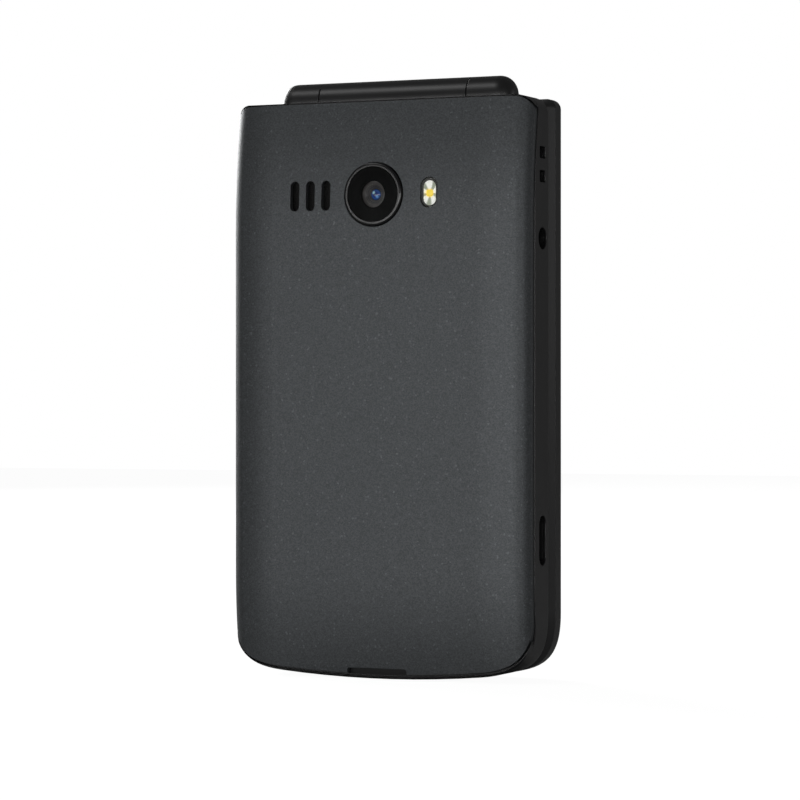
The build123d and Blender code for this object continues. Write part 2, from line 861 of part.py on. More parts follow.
with BuildPart() as flash_led:
    with BuildSketch(at_depth(flash_cup_top)):
        with Locations((flash_offset, flash_height)):
            SlotOverall(flash_length, flash_width, rotation=90)
    extrude(amount=flash_cup_top - rear_floor_depth - fit_gap)
    with BuildSketch(at_depth(rear_floor_depth + fit_gap)):
        with Locations((flash_offset, flash_height)):
            SlotOverall(flash_length + flash_flange, flash_width + flash_flange, rotation=90)
    extrude(amount=-flash_flange)
    with BuildSketch(at_depth(flash_cup_top)):
        with Locations((flash_offset, flash_height)):
            SlotOverall(flash_length - flash_rim, flash_width - flash_rim, rotation=90)
    extrude(amount=-flash_reflector_depth, taper=flash_taper, mode=Mode.SUBTRACT)
    with BuildSketch(at_depth(flash_cup_top + flash_reflector_depth - fit_gap)):
        with Locations((flash_offset, flash_height)):
            Rectangle(flash_chip, flash_chip)
    extrude(amount=-flash_flange)
    with BuildSketch(at_depth(flash_cup_top + flash_reflector_depth)):
        with Locations((flash_offset, flash_height)):
            Rectangle(flash_chip, flash_chip)
    extrude(amount=flash_flange)
finish(flash_led, "flash_led")

with BuildPart() as speaker:
    with BuildSketch(at_depth(rear_floor_depth + fit_gap)):
        with Locations((speaker_offset, camera_height)):
            RectangleRounded(speaker_width, speaker_length, speaker_corner)
    extrude(amount=-speaker_thickness)
    with BuildSketch(at_depth(rear_floor_depth + fit_gap)):
        with Locations((speaker_offset, camera_height)):
            RectangleRounded(mesh_width, mesh_length, speaker_corner)
            RectangleRounded(
                mesh_width - speaker_surround, mesh_length - speaker_surround, speaker_corner,
                mode=Mode.SUBTRACT,
            )
    extrude(amount=-speaker_groove, mode=Mode.SUBTRACT)
finish(speaker, "speaker")

with BuildPart() as speaker_mesh:
    with BuildSketch(at_depth(seat_depth - mesh_thickness)):
        with Locations((speaker_offset, camera_height)):
            Rectangle(mesh_width, mesh_length)
    extrude(amount=-mesh_thickness)
finish(speaker_mesh, "speaker_mesh")

# Battery, with sunk contact pads at its upper end
with BuildPart() as battery:
    add(
        box_between(
            battery_offset - battery_width / 2, battery_offset + battery_width / 2, battery_depth,
            battery_depth + battery_thickness, battery_bottom, battery_high,
        )
    )
    fillet(battery.edges().filter_by(Axis.Z), battery_edge_radius)
    for pad in (-1, 0, 1):
        add(
            box_between(
                battery_offset + pad * blade_pitch - blade_width,
                battery_offset + pad * blade_pitch + blade_width,
                battery_depth + battery_thickness - pad_length, battery_depth + battery_thickness,
                battery_high - pad_depth, battery_high,
            ),
            mode=Mode.SUBTRACT,
        )
finish(battery, "battery")

with BuildPart() as battery_contacts:
    add(
        box_between(
            battery_offset - contact_width / 2, battery_offset + contact_width / 2,
            board_back - contact_thickness, board_back, contact_low, contact_high,
        )
    )
    for blade in (-1, 0, 1):
        add(
            box_between(
                battery_offset + blade * blade_pitch - blade_width / 2,
                battery_offset + blade * blade_pitch + blade_width / 2,
                board_back - blade_length - fit_gap, well_floor_back - fit_gap,
                battery_high - pad_depth + fit_gap, contact_low + fit_gap,
            )
        )
finish(battery_contacts, "battery_contacts")

rocker_flange_x = rocker_play - inside_wall
rocker_nub_tip = rocker_flange_x + rocker_flange_thickness + rocker_nub_height
switch_x = rocker_nub_tip + rocker_play

jack_room_end = inside_wall - port_gap - jack_bore_length - jack_end_wall - port_room
jack_room_top = jack_height + jack_body_width / 2 + port_room

# Room that the boards leave for the sockets, the strap, the rocker and the pillars
with BuildPart() as room_in_boards:
    add(
        box_between(
            -half_width, switch_x + port_gap, 0, base_depth,
            rocker_height - rocker_length / 2 - rocker_flange - port_room,
            rocker_height + rocker_length / 2 + rocker_flange + port_room,
        )
    )
    add(
        box_between(
            inside_wall - usb_length - port_room, half_width, 0, base_depth,
            usb_height - usb_width / 2 - port_room, usb_height + usb_width / 2 + port_room,
        )
    )
    add(
        box_between(
            jack_room_end, half_width, 0, base_depth, jack_height - jack_body_width / 2 - port_room,
            jack_room_top,
        )
    )
    add(
        box_between(
            inside_wall - strap_room, half_width, 0, base_depth,
            strap_hole_heights[0] - strap_hole_width, strap_hole_heights[1] + strap_hole_width,
        )
    )
    with BuildSketch(at_depth(0)):
        with Locations(screw_places):
            Circle(boss_radius + pillar_gap)
    extrude(amount=-base_depth)

with BuildPart() as main_board:
    with BuildSketch(at_depth(board_back)):
        add(outline(Plane.XY, board_inset, top_inset=0, top=board_top))
    extrude(amount=-board_thickness)
    add(room_in_boards.part, mode=Mode.SUBTRACT)
    for spread in (-switch_spread, switch_spread):
        add(
            box_between(
                switch_x, switch_x + switch_height, port_depth - switch_size / 2,
                keypad_board_back - port_gap, rocker_height + spread - switch_size / 2,
                rocker_height + spread + switch_size / 2,
            )
        )
finish(main_board, "main_board")

# Two cans, each between its neighbours: left, right, low, high
main_can = (
    card_holder_place[0] + card_holder_size[0] / 2 + shield_gap, jack_room_end - shield_gap,
    contact_high + shield_gap, camera_height - speaker_length / 2 - shield_gap,
)
side_can = (
    camera_body / 2 + shield_gap, screw_places[3][0] - boss_radius - shield_gap,
    jack_room_top + shield_gap, board_top - shield_gap,
)
with BuildPart() as shield_cans:
    for left, right, low, high in (main_can, side_can):
        add(box_between(left, right, board_back - shield_thickness, board_back, low, high))
        add(
            box_between(
                left + shield_wall, right - shield_wall, board_back - shield_thickness + shield_wall,
                board_back, low + shield_wall, high - shield_wall,
            ),
            mode=Mode.SUBTRACT,
        )
finish(shield_cans, "shield_cans")

with BuildPart() as card_holder:
    with BuildSketch(at_depth(board_back - card_holder_thickness)):
        with Locations(card_holder_place):
            Rectangle(*card_holder_size)
    extrude(amount=-card_holder_thickness)
    add(
        box_between(
            card_holder_place[0] - card_holder_size[0] / 2 - fit_gap,
            card_holder_place[0] + card_holder_size[0] / 2 - card_slot_margin,
            board_back - card_holder_thickness + card_slot_margin / 2,
            board_back - card_slot_margin / 2,
            card_holder_place[1] - card_holder_size[1] / 2 + card_slot_margin,
            card_holder_place[1] + card_holder_size[1] / 2 - card_slot_margin,
        ),
        mode=Mode.SUBTRACT,
    )
finish(card_holder, "card_holder")

with BuildPart() as vibration_motor:
    with BuildSketch(at_depth(board_back - motor_thickness)):
        with Locations(motor_place):
            Circle(motor_radius)
    extrude(amount=-motor_thickness)
    chamfer(vibration_motor.faces().sort_by(Axis.Y)[0].edges(), motor_edge)
finish(vibration_motor, "vibration_motor")

antenna_right = screw_places[1][0] - boss_radius - pillar_gap
antenna_place = ((antenna_left + antenna_right) / 2, antenna_height)
antenna_width = antenna_right - antenna_left
with BuildPart() as antenna:
    with BuildSketch(at_depth(board_back - antenna_thickness)):
        with Locations(antenna_place):
            Rectangle(antenna_width, antenna_length)
    extrude(amount=-antenna_thickness)
    with BuildSketch(at_depth(board_back - antenna_thickness)):
        with Locations(antenna_place):
            with GridLocations(antenna_width / 3, 1, 2, 1):
                Rectangle(antenna_groove, antenna_length)
    extrude(amount=-antenna_groove, mode=Mode.SUBTRACT)
finish(antenna, "antenna")

# Board and snap domes under the keys
dome_places = [(key_x, key_z) for _, key_x, key_z, _, _, _ in key_places]
ring_dome_places = [
    (ring_dome_radius, ring_height), (-ring_dome_radius, ring_height),
    (0, ring_height + ring_dome_radius), (0, ring_height - ring_dome_radius),
]
with BuildPart() as keypad_board:
    with BuildSketch(at_depth(keypad_board_back)):
        add(outline(Plane.XY, board_inset, top_inset=0, top=keypad_board_top))
    extrude(amount=-keypad_board_thickness)
    add(room_in_boards.part, mode=Mode.SUBTRACT)
finish(keypad_board, "keypad_board")

with BuildPart() as dome_sheet:
    with BuildSketch(at_depth(keypad_board_front)):
        add(
            outline(
                Plane.XY, dome_sheet_inset, top_inset=0,
                top=keypad_board_top + board_inset - dome_sheet_inset,
            )
        )
        with Locations(microphone_place):
            Rectangle(
                microphone_size[0] + 2 * port_room, microphone_size[1] + 2 * port_room,
                mode=Mode.SUBTRACT,
            )
    extrude(amount=-dome_sheet_thickness)
    add(room_in_boards.part, mode=Mode.SUBTRACT)
    with BuildSketch(at_depth(keypad_board_front + dome_sheet_thickness)):
        with Locations(*dome_places, *ring_dome_places, (0, ring_height)):
            Circle(dome_radius)
    extrude(amount=-dome_height, taper=dome_taper)
finish(dome_sheet, "dome_sheet")

with BuildPart() as microphone:
    with BuildSketch(at_depth(keypad_board_front)):
        with Locations(microphone_place):
            Rectangle(*microphone_size)
    extrude(amount=-microphone_thickness)
    with BuildSketch(at_depth(keypad_board_front + microphone_thickness)):
        with Locations(microphone_place):
            Circle(microphone_hole_radius)
    extrude(amount=microphone_thickness / 2, mode=Mode.SUBTRACT)
finish(microphone, "microphone")

# Charging socket: a rounded metal shell with a tongue
usb_mouth = inside_wall - port_gap
with BuildPart() as usb_socket:
    with BuildSketch(across(usb_mouth)):
        with Locations((back_y + port_depth, usb_height)):
            SlotOverall(usb_width, usb_thickness, rotation=90)
    extrude(amount=-usb_length)
    with BuildSketch(across(usb_mouth)):
        with Locations((back_y + port_depth, usb_height)):
            SlotOverall(usb_width - 2 * usb_shell, usb_thickness - 2 * usb_shell, rotation=90)
    extrude(amount=usb_shell - usb_length, mode=Mode.SUBTRACT)
    with BuildSketch(across(usb_mouth - usb_shell - usb_tongue_setback)):
        with Locations((back_y + port_depth, usb_height)):
            Rectangle(usb_tongue_thickness, usb_tongue_width)
    extrude(amount=2 * usb_shell + usb_tongue_setback - usb_length - usb_shell)
finish(usb_socket, "usb_socket")

# Headphone socket: a box with a round mouth and a blind bore
with BuildPart() as headphone_socket:
    with BuildSketch(across(usb_mouth)):
        with Locations((back_y + port_depth, jack_height)):
            Circle(jack_barrel_radius)
    extrude(amount=-jack_barrel_length)
    with BuildSketch(across(usb_mouth - jack_barrel_length)):
        with Locations((back_y + port_depth, jack_height)):
            Rectangle(jack_body_thickness, jack_body_width)
    extrude(amount=jack_barrel_length - jack_bore_length - jack_end_wall)
    with BuildSketch(across(usb_mouth)):
        with Locations((back_y + port_depth, jack_height)):
            Circle(jack_bore_radius)
    extrude(amount=-jack_bore_length, mode=Mode.SUBTRACT)
finish(headphone_socket, "headphone_socket")

screw_head_back = screw_seat_depth - screw_head_height
with BuildPart() as housing_screws:
    with BuildSketch(at_depth(screw_head_back)):
        with Locations(screw_places):
            Circle(screw_head_radius)
    extrude(amount=-screw_head_height)
    with BuildSketch(at_depth(screw_head_back)):
        with Locations(screw_places):
            Circle(screw_radius)
    extrude(amount=-screw_length)
    with BuildSketch(at_depth(screw_head_back)):
        with Locations(screw_places):
            Rectangle(screw_slot_length, screw_slot_width)
            Rectangle(screw_slot_width, screw_slot_length)
    extrude(amount=-screw_slot_depth, mode=Mode.SUBTRACT)
finish(housing_screws, "housing_screws")

# Keypad frame: the plate round the keys, with pillars for the screws
with BuildPart() as keypad_frame:
    with BuildSketch(at_depth(frame_back)):
        add(outline(Plane.XY, frame_inset, top_inset=0, top=frame_top))
    extrude(amount=-frame_thickness)
    with BuildSketch(at_depth(frame_rib_depth)):
        add(outline(Plane.XY, frame_inset, top_inset=0, top=frame_top))
        add(
            outline(
                Plane.XY, frame_inset + frame_rib_width, top_inset=0, top=frame_top - frame_rib_width
            ),
            mode=Mode.SUBTRACT,
        )
    extrude(amount=frame_rib_depth - frame_back)
    with BuildSketch(at_depth(boss_end_depth + port_gap)):
        with Locations(screw_places):
            Circle(boss_radius)
            Circle(screw_radius + screw_hole_gap, mode=Mode.SUBTRACT)
    extrude(amount=boss_end_depth + port_gap - frame_back)
    with BuildSketch(at_depth(frame_back)):
        for _, key_x, key_z, width, length, corner in key_places:
            with Locations((key_x, key_z)):
                RectangleRounded(width + 2 * key_gap, length + 2 * key_gap, corner + key_gap)
        with Locations((0, ring_height)):
            Circle(ring_radius + key_gap)
        with Locations(microphone_place):
            Circle(microphone_hole_radius)
    extrude(amount=-frame_thickness, mode=Mode.SUBTRACT)
    add(side_openings.part, mode=Mode.SUBTRACT)
finish(keypad_frame, "keypad_frame")

# Keys: a cap with a bevelled edge, a flange that holds it under the frame and a nub
for name, key_x, key_z, width, length, corner in key_places:
    with BuildPart() as key:
        with BuildSketch(at_depth(key_back)):
            with Locations((key_x, key_z)):
                RectangleRounded(width, length, corner)
        extrude(amount=key_back - key_front)
        chamfer(key.faces().sort_by(Axis.Y)[-1].edges(), key_edge)
        with BuildSketch(at_depth(key_back)):
            with Locations((key_x, key_z)):
                RectangleRounded(width + 2 * key_flange, length + 2 * key_flange, corner + key_flange)
        extrude(amount=-key_flange_thickness)
        with BuildSketch(at_depth(key_back)):
            with Locations((key_x, key_z)):
                Circle(key_nub_radius)
        extrude(amount=key_nub_height)
    finish(key, name)

with BuildPart() as key_ring:
    with BuildSketch(at_depth(key_back)):
        with Locations((0, ring_height)):
            Circle(ring_radius)
            Circle(ring_inner_radius, mode=Mode.SUBTRACT)
    extrude(amount=key_back - key_front)
    chamfer(key_ring.faces().sort_by(Axis.Y)[-1].edges(), key_edge)
    with BuildSketch(at_depth(key_back)):
        with Locations((0, ring_height)):
            Circle(ring_radius + key_flange)
            Circle(ring_radius - key_flange, mode=Mode.SUBTRACT)
    extrude(amount=-key_flange_thickness)
    with BuildSketch(at_depth(key_back)):
        with Locations((0, ring_height)):
            Circle(ring_inner_radius + ring_relief_width)
    extrude(amount=-ring_relief_depth, mode=Mode.SUBTRACT)
    with BuildSketch(at_depth(key_back)):
        with Locations(ring_dome_places):
            Circle(key_nub_radius)
    extrude(amount=key_nub_height)
finish(key_ring, "key_ring")

ok_radius = ring_inner_radius - ok_gap
with BuildPart() as key_ok:
    with BuildSketch(at_depth(key_back)):
        with Locations((0, ring_height)):
            Circle(ok_radius)
    extrude(amount=key_back - key_front)
    chamfer(key_ok.faces().sort_by(Axis.Y)[-1].edges(), key_edge)
    with BuildSketch(at_depth(key_back)):
        with Locations((0, ring_height)):
            Circle(ok_radius + ok_flange)
    extrude(amount=-key_flange_thickness)
    with BuildSketch(at_depth(key_back)):
        with Locations((0, ring_height)):
            Circle(key_nub_radius)
    extrude(amount=key_nub_height)
finish(key_ok, "key_ok")

# Volume rocker in the -X wall: a long cap, a flange inside, two nubs and a round rib to rock on
with BuildPart() as volume_rocker:
    with BuildSketch(across(-half_width - rocker_proud)):
        with Locations((back_y + port_depth, rocker_height)):
            SlotOverall(rocker_length, rocker_width, rotation=90)
    extrude(amount=half_width + rocker_proud + rocker_flange_x)
    fillet(volume_rocker.faces().sort_by(Axis.X)[0].edges(), rocker_edge_radius)
    with BuildSketch(across(rocker_flange_x)):
        with Locations((back_y + port_depth, rocker_height)):
            SlotOverall(rocker_length + 2 * rocker_flange, rocker_width + 2 * rocker_flange, rotation=90)
    extrude(amount=rocker_flange_thickness)
    with BuildSketch(across(rocker_flange_x + rocker_flange_thickness)):
        with Locations((back_y + port_depth, rocker_height)):
            with GridLocations(1, 2 * switch_spread, 1, 2):
                Circle(key_nub_radius)
    extrude(amount=rocker_nub_height)
    with BuildSketch(at_depth(port_depth - rocker_width / 2)):
        with Locations((rocker_flange_x + rocker_flange_thickness, rocker_height)):
            Circle(rocker_pivot_radius)
    extrude(amount=-rocker_width)
finish(volume_rocker, "volume_rocker")

# Hinge: a spring cartridge in one knuckle turns the cam, a hollow bush carries the other side
with BuildPart() as hinge_cartridge:
    add(rod(cartridge_radius, right_knuckle_end, right_knuckle_end + cartridge_length))
    add(
        rod(
            cartridge_bore_radius, right_knuckle_end,
            right_knuckle_end + cartridge_length - cartridge_end_wall,
        ),
        mode=Mode.SUBTRACT,
    )
    chamfer(hinge_cartridge.faces().sort_by(Axis.X)[-1].edges(), cartridge_edge)
finish(hinge_cartridge, "hinge_cartridge")

cam_start = right_barrel_end - running_gap - cam_nose_length
cam_pocket_start = cam_start - running_gap
with BuildPart() as hinge_cam:
    with BuildSketch(across(cam_start)):
        with Locations((back_y + hinge_axis_depth, hinge_z)):
            Circle(cam_nose_radius)
            Rectangle(2 * cam_flat, 2 * cam_nose_radius, mode=Mode.INTERSECT)
    extrude(amount=cam_nose_length)
    add(
        rod(
            cam_shaft_radius, cam_start,
            right_knuckle_end + cartridge_length - 2 * cartridge_end_wall,
        )
    )
finish(hinge_cam, "hinge_cam")

bush_start = left_knuckle_end - bush_length / 2
with BuildPart() as hinge_bush:
    add(rod(bush_radius, bush_start + fit_gap, bush_start + bush_length))
    add(rod(bush_bore_radius, bush_start, bush_start + bush_length), mode=Mode.SUBTRACT)
finish(hinge_bush, "hinge_bush")

# Flex cable: rolled up inside the bush, with a tail that runs down into the lid
flex_end = bush_start + bush_length + flex_tail_width
flex_back = hinge_axis_depth + hinge_flex_radius - flex_thickness
with BuildPart() as hinge_flex:
    add(rod(hinge_flex_radius, bush_start + port_gap, flex_end))
    add(rod(hinge_flex_radius - flex_thickness, bush_start, flex_end), mode=Mode.SUBTRACT)
    add(
        box_between(
            flex_end - flex_tail_width, flex_end, flex_back, flex_back + flex_thickness,
            body_height - flex_tail_drop, hinge_z,
        )
    )
finish(hinge_flex, "hinge_flex")

# Lid frame: the inner half of the lid with the middle of the hinge barrel
lid_floor_front = lid_back + lid_inner_floor
window_front = lid_back + inner_window_recess + inner_window_thickness + fit_gap
lid_head_back = window_front + fit_gap
lid_seat = lid_head_back + screw_head_height
lid_screw_tip = lid_head_back + lid_screw_length + fit_gap
lid_boss_end = lid_floor_front + lid_boss_length
flex_room_low = body_height - flex_tail_drop - port_gap
flex_room_back = flex_back - port_gap
flex_room_front = flex_back + flex_thickness + port_gap
knuckle_room_left = hinge_left - hinge_clearance
knuckle_room_right = hinge_right + hinge_clearance
with BuildPart() as lid_frame:
    with BuildSketch(at_depth(lid_back)):
        add(outline(Plane.XY, lid_taper_inset, corner=lid_top_corner))
    with BuildSketch(at_depth(lid_full_width)):
        add(outline(Plane.XY, corner=lid_top_corner))
    loft(ruled=True)
    with BuildSketch(at_depth(lid_floor_front)):
        add(outline(Plane.XY, lid_taper_inset + lid_wall, top_inset=0, top=hinge_block_low))
    extrude(amount=lid_floor_front - lid_full_width, mode=Mode.SUBTRACT)
    add(rod(recess_radius, knuckle_room_left, left_barrel_end), mode=Mode.SUBTRACT)
    add(rod(recess_radius, right_barrel_end, knuckle_room_right), mode=Mode.SUBTRACT)
    add(rod(hinge_radius, left_barrel_end, right_barrel_end))
    # Recess for the window, with openings for the display, the earpiece and the flex cable
    with BuildSketch(at_depth(lid_back)):
        add(outline(Plane.XY, inner_window_inset - port_gap, top_inset=0, top=inner_window_top
            + port_gap))
    extrude(amount=lid_back - window_front, mode=Mode.SUBTRACT)
    with BuildSketch(at_depth(lid_back)):
        with Locations((0, display_bottom + display_length / 2)):
            Rectangle(display_width + 2 * port_gap, display_length + 2 * port_gap)
        with Locations((0, earpiece_height)):
            Rectangle(earpiece_width + 2 * port_gap, earpiece_length + 2 * port_gap)
    extrude(amount=lid_back - lid_full_width, mode=Mode.SUBTRACT)
    # Bosses and sunk seats for the screws
    with BuildSketch(at_depth(lid_floor_front - fit_gap)):
        with Locations(lid_screw_places):
            Circle(boss_radius)
    extrude(amount=lid_floor_front - fit_gap - lid_boss_end)
    with BuildSketch(at_depth(lid_back)):
        with Locations(lid_screw_places):
            Circle(screw_head_radius + port_gap)
    extrude(amount=lid_back - lid_seat, mode=Mode.SUBTRACT)
    with BuildSketch(at_depth(lid_back)):
        with Locations(lid_screw_places):
            Circle(screw_radius + screw_hole_gap)
    extrude(amount=lid_back - lid_boss_end, mode=Mode.SUBTRACT)
    # Seats for the rubber bumpers
    with BuildSketch(at_depth(lid_back)):
        with Locations(bumper_places):
            SlotOverall(bumper_length + 2 * fit_gap, bumper_width + 2 * fit_gap, rotation=90)
    extrude(amount=bumper_proud - bumper_thickness, mode=Mode.SUBTRACT)
    # Bores of the barrel
    add(
        rod(bush_radius + running_gap, left_barrel_end, bush_start + bush_length + running_gap),
        mode=Mode.SUBTRACT,
    )
    add(rod(bush_bore_radius, left_barrel_end, flex_end + running_gap), mode=Mode.SUBTRACT)
    with BuildSketch(across(cam_pocket_start)):
        with Locations((back_y + hinge_axis_depth, hinge_z)):
            Circle(cam_nose_radius + running_gap)
            Rectangle(
                2 * (cam_flat + running_gap), 2 * (cam_nose_radius + running_gap),
                mode=Mode.INTERSECT,
            )
    extrude(amount=right_barrel_end - cam_pocket_start, mode=Mode.SUBTRACT)
    add(
        box_between(
            flex_end - flex_tail_width - port_gap, flex_end + port_gap, flex_room_back,
            flex_room_front, flex_room_low, hinge_z,
        ),
        mode=Mode.SUBTRACT,
    )
    add(
        box_between(
            flex_end - flex_tail_width - port_gap, flex_end + port_gap, flex_room_back,
            lid_full_width, flex_room_low, hinge_block_low,
        ),
        mode=Mode.SUBTRACT,
    )
finish(lid_frame, "lid_frame")

# Lid cover: the outer half of the lid, with pillars and the outer window's seat
outer_window_seat = lid_front - outer_window_recess - outer_window_thickness - fit_gap
lid_hollow_front = lid_front - lid_front_wall
with BuildPart() as lid_cover:
    with BuildSketch(at_depth(lid_full_width + lid_part_line)):
        add(outline(Plane.XY, corner=lid_top_corner))
    extrude(amount=lid_full_width + lid_part_line - lid_front)
    fillet(lid_cover.faces().sort_by(Axis.Y)[-1].edges(), lid_front_radius)
    with BuildSketch(at_depth(lid_full_width)):
        add(outline(Plane.XY, lid_wall, top_inset=0, top=hinge_block_low))
    extrude(amount=lid_full_width - lid_hollow_front, mode=Mode.SUBTRACT)
    with BuildSketch(at_depth(lid_boss_end + fit_gap)):
        with Locations(lid_screw_places):
            Circle(lid_pillar_radius)
    extrude(amount=lid_boss_end - lid_hollow_front)
    with BuildSketch(at_depth(lid_boss_end)):
        with Locations(lid_screw_places):
            Circle(screw_radius + screw_hole_gap)
    extrude(amount=lid_boss_end - lid_screw_tip, mode=Mode.SUBTRACT)
    with BuildSketch(at_depth(lid_front)):
        with Locations((0, outer_window_height)):
            RectangleRounded(
                outer_window_width + 2 * fit_gap, outer_window_length + 2 * fit_gap,
                outer_window_corner + fit_gap,
            )
    extrude(amount=lid_front - outer_window_seat, mode=Mode.SUBTRACT)
    with BuildSketch(at_depth(lid_front)):
        with Locations((0, outer_window_height)):
            Rectangle(outer_display_width + 2 * fit_gap, outer_display_length + 2 * fit_gap)
    extrude(amount=lid_front_wall, mode=Mode.SUBTRACT)
    add(rod(recess_radius, knuckle_room_left, knuckle_room_right), mode=Mode.SUBTRACT)
finish(lid_cover, "lid_cover")

with BuildPart() as outer_window:
    with BuildSketch(at_depth(outer_window_seat + fit_gap)):
        with Locations((0, outer_window_height)):
            RectangleRounded(outer_window_width, outer_window_length, outer_window_corner)
    extrude(amount=-outer_window_thickness)
finish(outer_window, "outer_window")

with BuildPart() as outer_display:
    with BuildSketch(at_depth(outer_window_seat)):
        with Locations((0, outer_window_height)):
            Rectangle(outer_display_width, outer_display_length)
    extrude(amount=outer_display_thickness)
finish(outer_display, "outer_display")

with BuildPart() as inner_window:
    with BuildSketch(at_depth(lid_back + inner_window_recess)):
        add(outline(Plane.XY, inner_window_inset, top_inset=0, top=inner_window_top))
        with Locations((0, earpiece_height)):
            SlotOverall(earpiece_slot_width, earpiece_slot_length, mode=Mode.SUBTRACT)
    extrude(amount=-inner_window_thickness)
finish(inner_window, "inner_window")

with BuildPart() as main_display:
    with BuildSketch(at_depth(window_front)):
        with Locations((0, display_bottom + display_length / 2)):
            Rectangle(display_width, display_length)
    extrude(amount=-display_thickness)
finish(main_display, "main_display")

with BuildPart() as earpiece:
    with BuildSketch(at_depth(window_front)):
        with Locations((0, earpiece_height)):
            RectangleRounded(earpiece_width, earpiece_length, speaker_corner)
    extrude(amount=-earpiece_thickness)
finish(earpiece, "earpiece")

with BuildPart() as earpiece_mesh:
    with BuildSketch(at_depth(window_front - earpiece_mesh_thickness)):
        with Locations((0, earpiece_height)):
            SlotOverall(earpiece_slot_width - 2 * fit_gap, earpiece_slot_length - 2 * fit_gap)
    extrude(amount=-earpiece_mesh_thickness)
finish(earpiece_mesh, "earpiece_mesh")

with BuildPart() as lid_magnet:
    with BuildSketch(at_depth(lid_floor_front)):
        with Locations(magnet_place):
            Rectangle(magnet_size, magnet_size)
    extrude(amount=-magnet_thickness)
finish(lid_magnet, "lid_magnet")

with BuildPart() as lid_bumpers:
    with BuildSketch(at_depth(lid_back - bumper_proud)):
        with Locations(bumper_places):
            SlotOverall(bumper_length, bumper_width, rotation=90)
    extrude(amount=-bumper_thickness)
finish(lid_bumpers, "lid_bumpers")

with BuildPart() as lid_screws:
    with BuildSketch(at_depth(lid_head_back)):
        with Locations(lid_screw_places):
            Circle(screw_head_radius)
    extrude(amount=-screw_head_height)
    with BuildSketch(at_depth(lid_head_back)):
        with Locations(lid_screw_places):
            Circle(screw_radius)
    extrude(amount=-lid_screw_length)
    with BuildSketch(at_depth(lid_head_back)):
        with Locations(lid_screw_places):
            Rectangle(screw_slot_length, screw_slot_width)
            Rectangle(screw_slot_width, screw_slot_length)
    extrude(amount=-screw_slot_depth, mode=Mode.SUBTRACT)
finish(lid_screws, "lid_screws")
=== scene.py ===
import json
import math

import bmesh
import bpy
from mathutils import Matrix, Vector


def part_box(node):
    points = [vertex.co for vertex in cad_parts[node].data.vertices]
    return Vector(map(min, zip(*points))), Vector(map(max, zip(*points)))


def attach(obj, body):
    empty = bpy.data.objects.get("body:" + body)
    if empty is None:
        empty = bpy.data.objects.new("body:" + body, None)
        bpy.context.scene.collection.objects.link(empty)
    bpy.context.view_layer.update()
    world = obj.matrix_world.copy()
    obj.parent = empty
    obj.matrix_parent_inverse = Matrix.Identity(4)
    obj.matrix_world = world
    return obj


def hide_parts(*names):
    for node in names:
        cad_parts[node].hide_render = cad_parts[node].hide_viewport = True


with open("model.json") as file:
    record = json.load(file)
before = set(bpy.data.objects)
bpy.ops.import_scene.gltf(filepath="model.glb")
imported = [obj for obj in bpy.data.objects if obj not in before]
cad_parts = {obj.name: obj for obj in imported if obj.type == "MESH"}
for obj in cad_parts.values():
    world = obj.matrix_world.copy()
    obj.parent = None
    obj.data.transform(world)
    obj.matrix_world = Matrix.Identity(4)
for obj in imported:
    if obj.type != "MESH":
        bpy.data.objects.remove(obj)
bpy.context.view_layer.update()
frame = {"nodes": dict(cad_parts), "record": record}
nodes = frame["nodes"]
print("frame loaded:", len(nodes), "nodes")

mm = 0.001
bodies = frame["record"]["behaviour"]["bodies"]
bodyOf = {node: body for body, members in bodies.items() for node in members}


def middle(node):
    low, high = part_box(node)
    return (low + high) / 2


# the camera stands to the right of the phone's back, level with its middle
cameraPlan = {
    "place": (0.2414, -0.52715, 0.0509), "towards": (-0.4147, 0.9100, 0.0),
    "lens": 141.5, "sensor": 36.0, "near": 0.01, "far": 20.0,
}


def placeCamera():
    cameraData = bpy.data.cameras.new("camera")
    cameraData.lens = cameraPlan["lens"]
    cameraData.sensor_width = cameraPlan["sensor"]
    cameraData.clip_start = cameraPlan["near"]
    cameraData.clip_end = cameraPlan["far"]
    camera = bpy.data.objects.new("camera", cameraData)
    camera.location = cameraPlan["place"]
    camera.rotation_mode = "QUATERNION"
    camera.rotation_quaternion = Vector(cameraPlan["towards"]).to_track_quat("-Z", "Y")
    bpy.context.scene.collection.objects.link(camera)
    bpy.context.scene.camera = camera
    bpy.context.scene.view_settings.view_transform = "Standard"


# node tools for the materials. Scales are in turns per metre, bump depths in metres.

moulding = {
    "grain": 9000, "depth": 0.000004, "bump": 0.5,
    # the last number sets how much paler the edges are painted, as wear and as a painted highlight
    "broadTurns": 60, "darker": 0.86, "spread": 0.04, "worn": 1.35,
}
brushing = {"turns": 700, "darker": 0.8, "smoother": 0.08, "rougher": 0.12, "bump": 0.4, "depth": 0.000003}
edgeTurn = (0.7, 0.98)  # cosines of an edge's turned normal, from an edge fully painted paler, as wear and painted highlight, to none
clearCoat = {"straight": 0.04, "power": 5.0, "gloss": 0.02}  # share reflected straight on, growth at a slant


def newMaterial(name, colour, roughness, metallic=0.0):
    material = bpy.data.materials.new(name)
    material.use_nodes = True
    tree = material.node_tree
    shader = tree.nodes["Principled BSDF"]
    shader.inputs["Base Color"].default_value = (*colour, 1.0)
    shader.inputs["Roughness"].default_value = roughness
    shader.inputs["Metallic"].default_value = metallic
    return material, tree, shader


def addNode(tree, kind, **settings):
    node = tree.nodes.new(kind)
    for key, value in settings.items():
        setattr(node, key, value)
    return node


